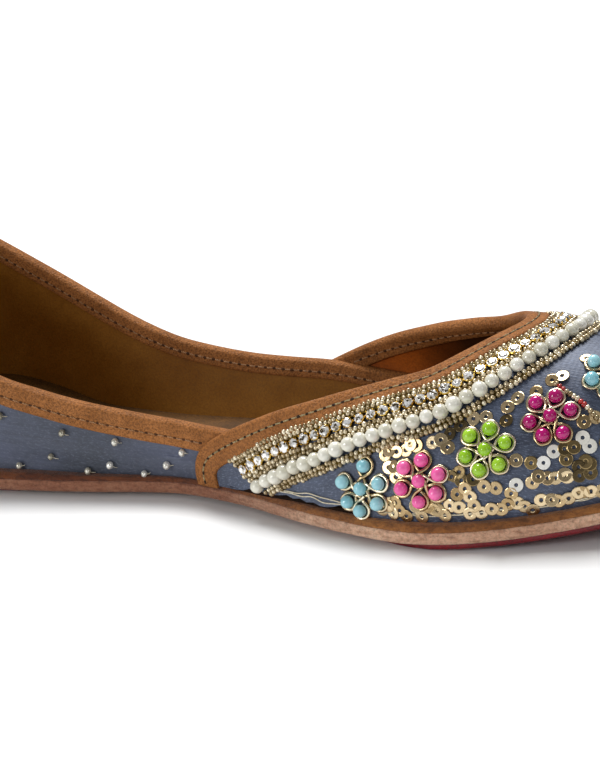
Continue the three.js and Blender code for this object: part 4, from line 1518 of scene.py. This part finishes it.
SEQUIN_POINTS, SEQUIN_FACES = model_shape(
    bpy.ops.mesh.primitive_torus_add, major_segments=16, minor_segments=8, major_radius=1.02 * MM,
    minor_radius=0.57 * MM)
# Pressed flat: the ring keeps a level top and a thin rounded rim.
SEQUIN_SHAPE = (np.clip(SEQUIN_POINTS, (-9, -9, -0.07), (9, 9, 0.07)), SEQUIN_FACES)
# s and d of each sequin on the medial side, in the groups they were sewn in.
GOLD_SEQUINS = (
    (-40.8, 17.0), (-38.3, 17.4), (-35.6, 17.8), (-33.0, 17.6), (-30.4, 18.2), (-28.8, 20.6),
    (-40.8, 20.0), (-40.0, 22.6), (-43.2, 27.6), (-33.6, 32.4), (-29.8, 31.0), (-28.8, 32.6),
    (-27.2, 32.0), (-26.4, 33.6), (-25.6, 36.4), (-23.2, 31.0), (-23.2, 37.0), (-21.0, 38.2),
    (-20.0, 39.2), (-18.4, 40.6), (-11.2, 33.5), (-24.8, 17.6), (-23.2, 19.0), (-19.2, 20.0),
    (-16.8, 19.6), (-10.4, 21.0), (-8.8, 21.6), (-13.6, 21.0), (-4.6, 21.6), (-7.6, 36.4),
    (-5.6, 39.0), (-9.0, 43.0), (-6.6, 45.4), (-3.4, 47.6), (-12.0, 47.0), (-1.2, 49.4),
    (-5.6, 51.5), (-9.4, 49.5), (-2.6, 53.5), (-1.6, 34.5),
)
# Sequins painted darker, as painted shade in their reflection.
DARK_SEQUINS = (
    (-21.6, 33.4), (-16.8, 37.4), (-16.0, 35.4), (-16.0, 40.4), (-16.8, 42.0), (-14.4, 41.4),
    (-15.2, 43.0), (-28.0, 18.0), (-28.8, 28.6), (-29.6, 27.0), (-20.8, 22.4), (-10.8, 40.0),
)
# Sequins painted white, as a painted highlight.
BRIGHT_SEQUINS = ((-24.8, 35.4), (-20.0, 35.0), (-17.6, 34.4), (-12.8, 38.4), (-12.8, 36.0), (-4.0, 43.4))


def tilted(point, normal, along, lean, size, lift):
    """A sequin's place, tipped a little on its thread."""
    across = np.cross(normal, along)
    up = unit(normal + along * chance.uniform(-lean, lean) + across * chance.uniform(-lean, lean))
    return point + normal * (lift + chance.uniform(0, 0.15)), unit(along - up * (along @ up)), up, size


def sewn(places, lean, stacks=(1,)):
    """Sequins sewn singly, or in short stacks that overlap like scales."""
    made = []
    for s, d in places:
        count, over, down = chance.choice(stacks), chance.uniform(0.9, 1.6), chance.uniform(-1.1, 1.1)
        for side in (1, -1):
            for k in range(count):
                where = spot(side * (s + k * over), d + k * down)
                made.append(tilted(*where, lean, chance.uniform(0.95, 1.05), 0.2 + 0.14 * k))
    return made


foot_row = []
for side in (-1, 1):
    for x in np.arange(161.0, 236.0, 1.75):
        x += chance.uniform(-0.6, 0.6)
        up = 0.045 + chance.uniform(-0.025, 0.03)
        here = on_last(side, x, up, VAMP_OUT)
        ahead = on_last(side, x + 1, up, VAMP_OUT) - here
        above = on_last(side, x, up + 0.02, VAMP_OUT) - here
        normal = unit(np.cross(ahead, above))
        normal = normal if normal[1] * side > 0 else -normal
        foot_row.append(tilted(here, normal, unit(ahead), 0.22, 1.0, 0.25))

gold = sewn(GOLD_SEQUINS, 0.16, (1, 1, 1, 2)) + foot_row
copies("gold_sequins", SEQUIN_SHAPE, gold, SEQUIN_GOLD, smooth=False, seed=61)
dark = sewn(DARK_SEQUINS, 0.2, (1, 2))
copies("shaded_sequins", SEQUIN_SHAPE, dark, SEQUIN_SHADED, smooth=False, seed=62)
bright = sewn(BRIGHT_SEQUINS, 0.05)
copies("highlit_sequins", SEQUIN_SHAPE, bright, SEQUIN_HIGHLIT, smooth=False, seed=63)

# The slanting strand between the last two flowers: seeds with two red pieces.
STRAND = ((-10.4, 22.6), (-10.2, 25.2), (-9.8, 28.0), (-9.6, 30.8), (-9.6, 34.0), (-9.4, 37.6))
strand_seeds, strand_reds = [], []
for side in (1, -1):
    path = np.array([spot(side * s, d)[0] for s, d in STRAND])
    line = resampled(smooth_curve(path), 1.0)
    for k, p in enumerate(line):
        found = THROAT_TREE.find_nearest(Vector(p))
        up = np.array(found[1])
        up = up if up[2] > 0 else -up
        along = unit(line[min(k + 1, len(line) - 1)] - line[max(k - 1, 0)])
        where = (np.array(found[0]) + up * 0.55, along, up, chance.uniform(0.95, 1.1))
        (strand_reds if k in (1, 2, 7, 8) else strand_seeds).append(where)
copies("slanting_strand", SEED_SHAPE, strand_seeds, SEED, seed=71)
copies("slanting_strand_red", SEED_SHAPE, strand_reds, RED_BEAD, seed=72)

# ------------------------------------------------------- threads and beads on the cloth


def edge_line(side, x_from, x_to, up, wander, seed):
    """A couched thread near the vamp's lower edge, wandering a little."""
    maker = random.Random(seed)
    knots = []
    for x in np.arange(x_from, x_to, 3.2):
        here = up + maker.uniform(-wander, wander)
        knots.append(on_last(side, x, here, VAMP_OUT + 0.12 + hanging_out(side, x, 50 * here)))
    return resampled(smooth_curve(knots), 0.5)


couched = []
for side in (-1, 1):
    couched.append(edge_line(side, 131.0, 234.0, up=0.034, wander=0.008, seed=81))
    couched.append(edge_line(side, 133.0, 226.0, up=0.040, wander=0.010, seed=82))
sewn_thread("couched_thread", couched, 0.14, PALE_THREAD)
# A dark strip along the lining's turned-in edge: painted shade in the gap under the loose cloth.
turned = [on_last(-1, x, 0.006, 0.9 + 0.5 * hanging_out(-1, x, 1.0))
          for x in np.arange(118.0, 163.0, 2.0)]
sewn_thread("gap_shade_strip", [resampled(smooth_curve(turned), 0.8)], 0.75, GAP_SHADE)

# x and height of the single beads on the medial quarter; the heel and the lateral side
# carry on in the same scattered rows.
QUARTER_BEADS = (
    (57.6, 19.2), (73.5, 15.5), (86.8, 13.6), (69.6, 9.3), (84.5, 7.6), (99.3, 8.2), (104.4, 11.9),
    (78.6, 5.9), (93.0, 5.7), (44.0, 25.5), (52.5, 11.8), (38.0, 16.5), (60.8, 6.6), (30.0, 33.0),
    (23.5, 22.0), (45.5, 7.4), (30.5, 9.5), (17.0, 41.0), (12.5, 29.0), (16.0, 14.0), (9.0, 20.0),
)
single_beads, tails = [], []
for side in (-1, 1):
    for x, z in QUARTER_BEADS:
        up = up_at(side, x, z=z)[0]
        p = on_last(side, x, up, 0.0)
        found = COLLAR_TREE.find_nearest(Vector(p))
        n = np.array(found[1])
        n = n if n[1] * side > 0 else -n
        along = unit(np.array([1.0, 0, chance.uniform(-0.5, 0.1)]) - n * n[0])
        single_beads.append((p + n * 0.75, along, n, 1.5 * chance.uniform(0.9, 1.1)))
        drop = chance.uniform(-0.7, 0.2)
        tails.append(smooth_curve([
            p + n * 0.5, p + along * 0.8 + n * 0.8, p + along * 1.3 + n * 0.7 + (0, 0, drop * 0.4),
            p + along * chance.uniform(1.3, 1.9) + n * 0.3 + (0, 0, drop),
        ], steps=5))
copies("quarter_beads", SEED_SHAPE, single_beads, CLEAR, seed=91)
sewn_thread("quarter_bead_tails", tails, 0.07, PALE_THREAD)

# ------------------------------------------------------------- floor, light and camera


def studio_floor():
    """A plain pale floor, which isn't part of the shoe."""
    bpy.ops.object.select_all(action="DESELECT")
    bpy.ops.mesh.primitive_plane_add(size=6.0, location=(0, 0, 0))
    floor = bpy.context.object
    floor.name = "studio_floor"
    bpy.ops.object.transform_apply(location=True, rotation=True, scale=True)
    material, tree = new_material("white_floor")
    where = add(tree, "TexCoord").outputs["Object"]
    paper = add(tree, "TexNoise", {"Vector": where, "Scale": marks(25), "Detail": 3.0})
    tone = add(tree, "ValToRGB", {0: paper.outputs[0]},
               stops=((0.3, "#e9e9e9"), (0.7, "#eeeeee"))).outputs[0]
    shader = add(tree, "BsdfPrincipled", {"Base Color": tone, "Roughness": 0.9, "Specular IOR Level": 0.0})
    add(tree, "OutputMaterial", {"Surface": shader.outputs[0]})
    floor.data.materials.append(material)


studio_floor()


def soft_light(name, place, size, power):
    """A square soft white light aimed at the middle of the shoe."""
    light = bpy.data.lights.new(name, "AREA")
    light.size = size
    light.energy = power
    lamp = bpy.data.objects.new(name, light)
    lamp.location = place
    lamp.rotation_euler = (Vector((0, 0, 0.02)) - lamp.location).to_track_quat("-Z", "Y").to_euler()
    bpy.context.collection.objects.link(lamp)


soft_light("back_light", (-0.2, 0.34, 0.95), size=0.5, power=13.8)
soft_light("front_light", (-0.45, -0.9, 0.3), size=0.36, power=3.75)
soft_light("toe_light", (0.9, -0.35, 0.5), size=0.35, power=0.8)

world = bpy.data.worlds.new("studio")
world.use_nodes = True
world.node_tree.nodes["Background"].inputs[0].default_value = colour("#ffffff")
world.node_tree.nodes["Background"].inputs[1].default_value = 0.22
bpy.context.scene.world = world
bpy.context.scene.view_settings.view_transform = "Standard"

# The camera stands on the medial side, a little behind the middle and above the shoe,
# and is rolled so that the shoe climbs to the left.
TURN, DROP, ROLL = math.radians(29.24), math.radians(17.58), math.radians(5.53)
AIM = Vector((1.58, 4.90, 21.39)) * MM
AWAY = 0.83617
ahead = Vector((-math.sin(TURN) * math.cos(DROP), math.cos(TURN) * math.cos(DROP), -math.sin(DROP)))
level = Vector((math.cos(TURN), math.sin(TURN), 0))
raised = level.cross(ahead)
right = math.cos(ROLL) * level - math.sin(ROLL) * raised
upward = math.sin(ROLL) * level + math.cos(ROLL) * raised
lens = bpy.data.cameras.new("camera")
lens.sensor_width = 36.0
lens.lens = 165.62
camera = bpy.data.objects.new("camera", lens)
place = AIM - ahead * AWAY
camera.matrix_world = Matrix((
    (right.x, upward.x, -ahead.x, place.x),
    (right.y, upward.y, -ahead.y, place.y),
    (right.z, upward.z, -ahead.z, place.z),
    (0, 0, 0, 1),
))
bpy.context.collection.objects.link(camera)
bpy.context.scene.camera = camera
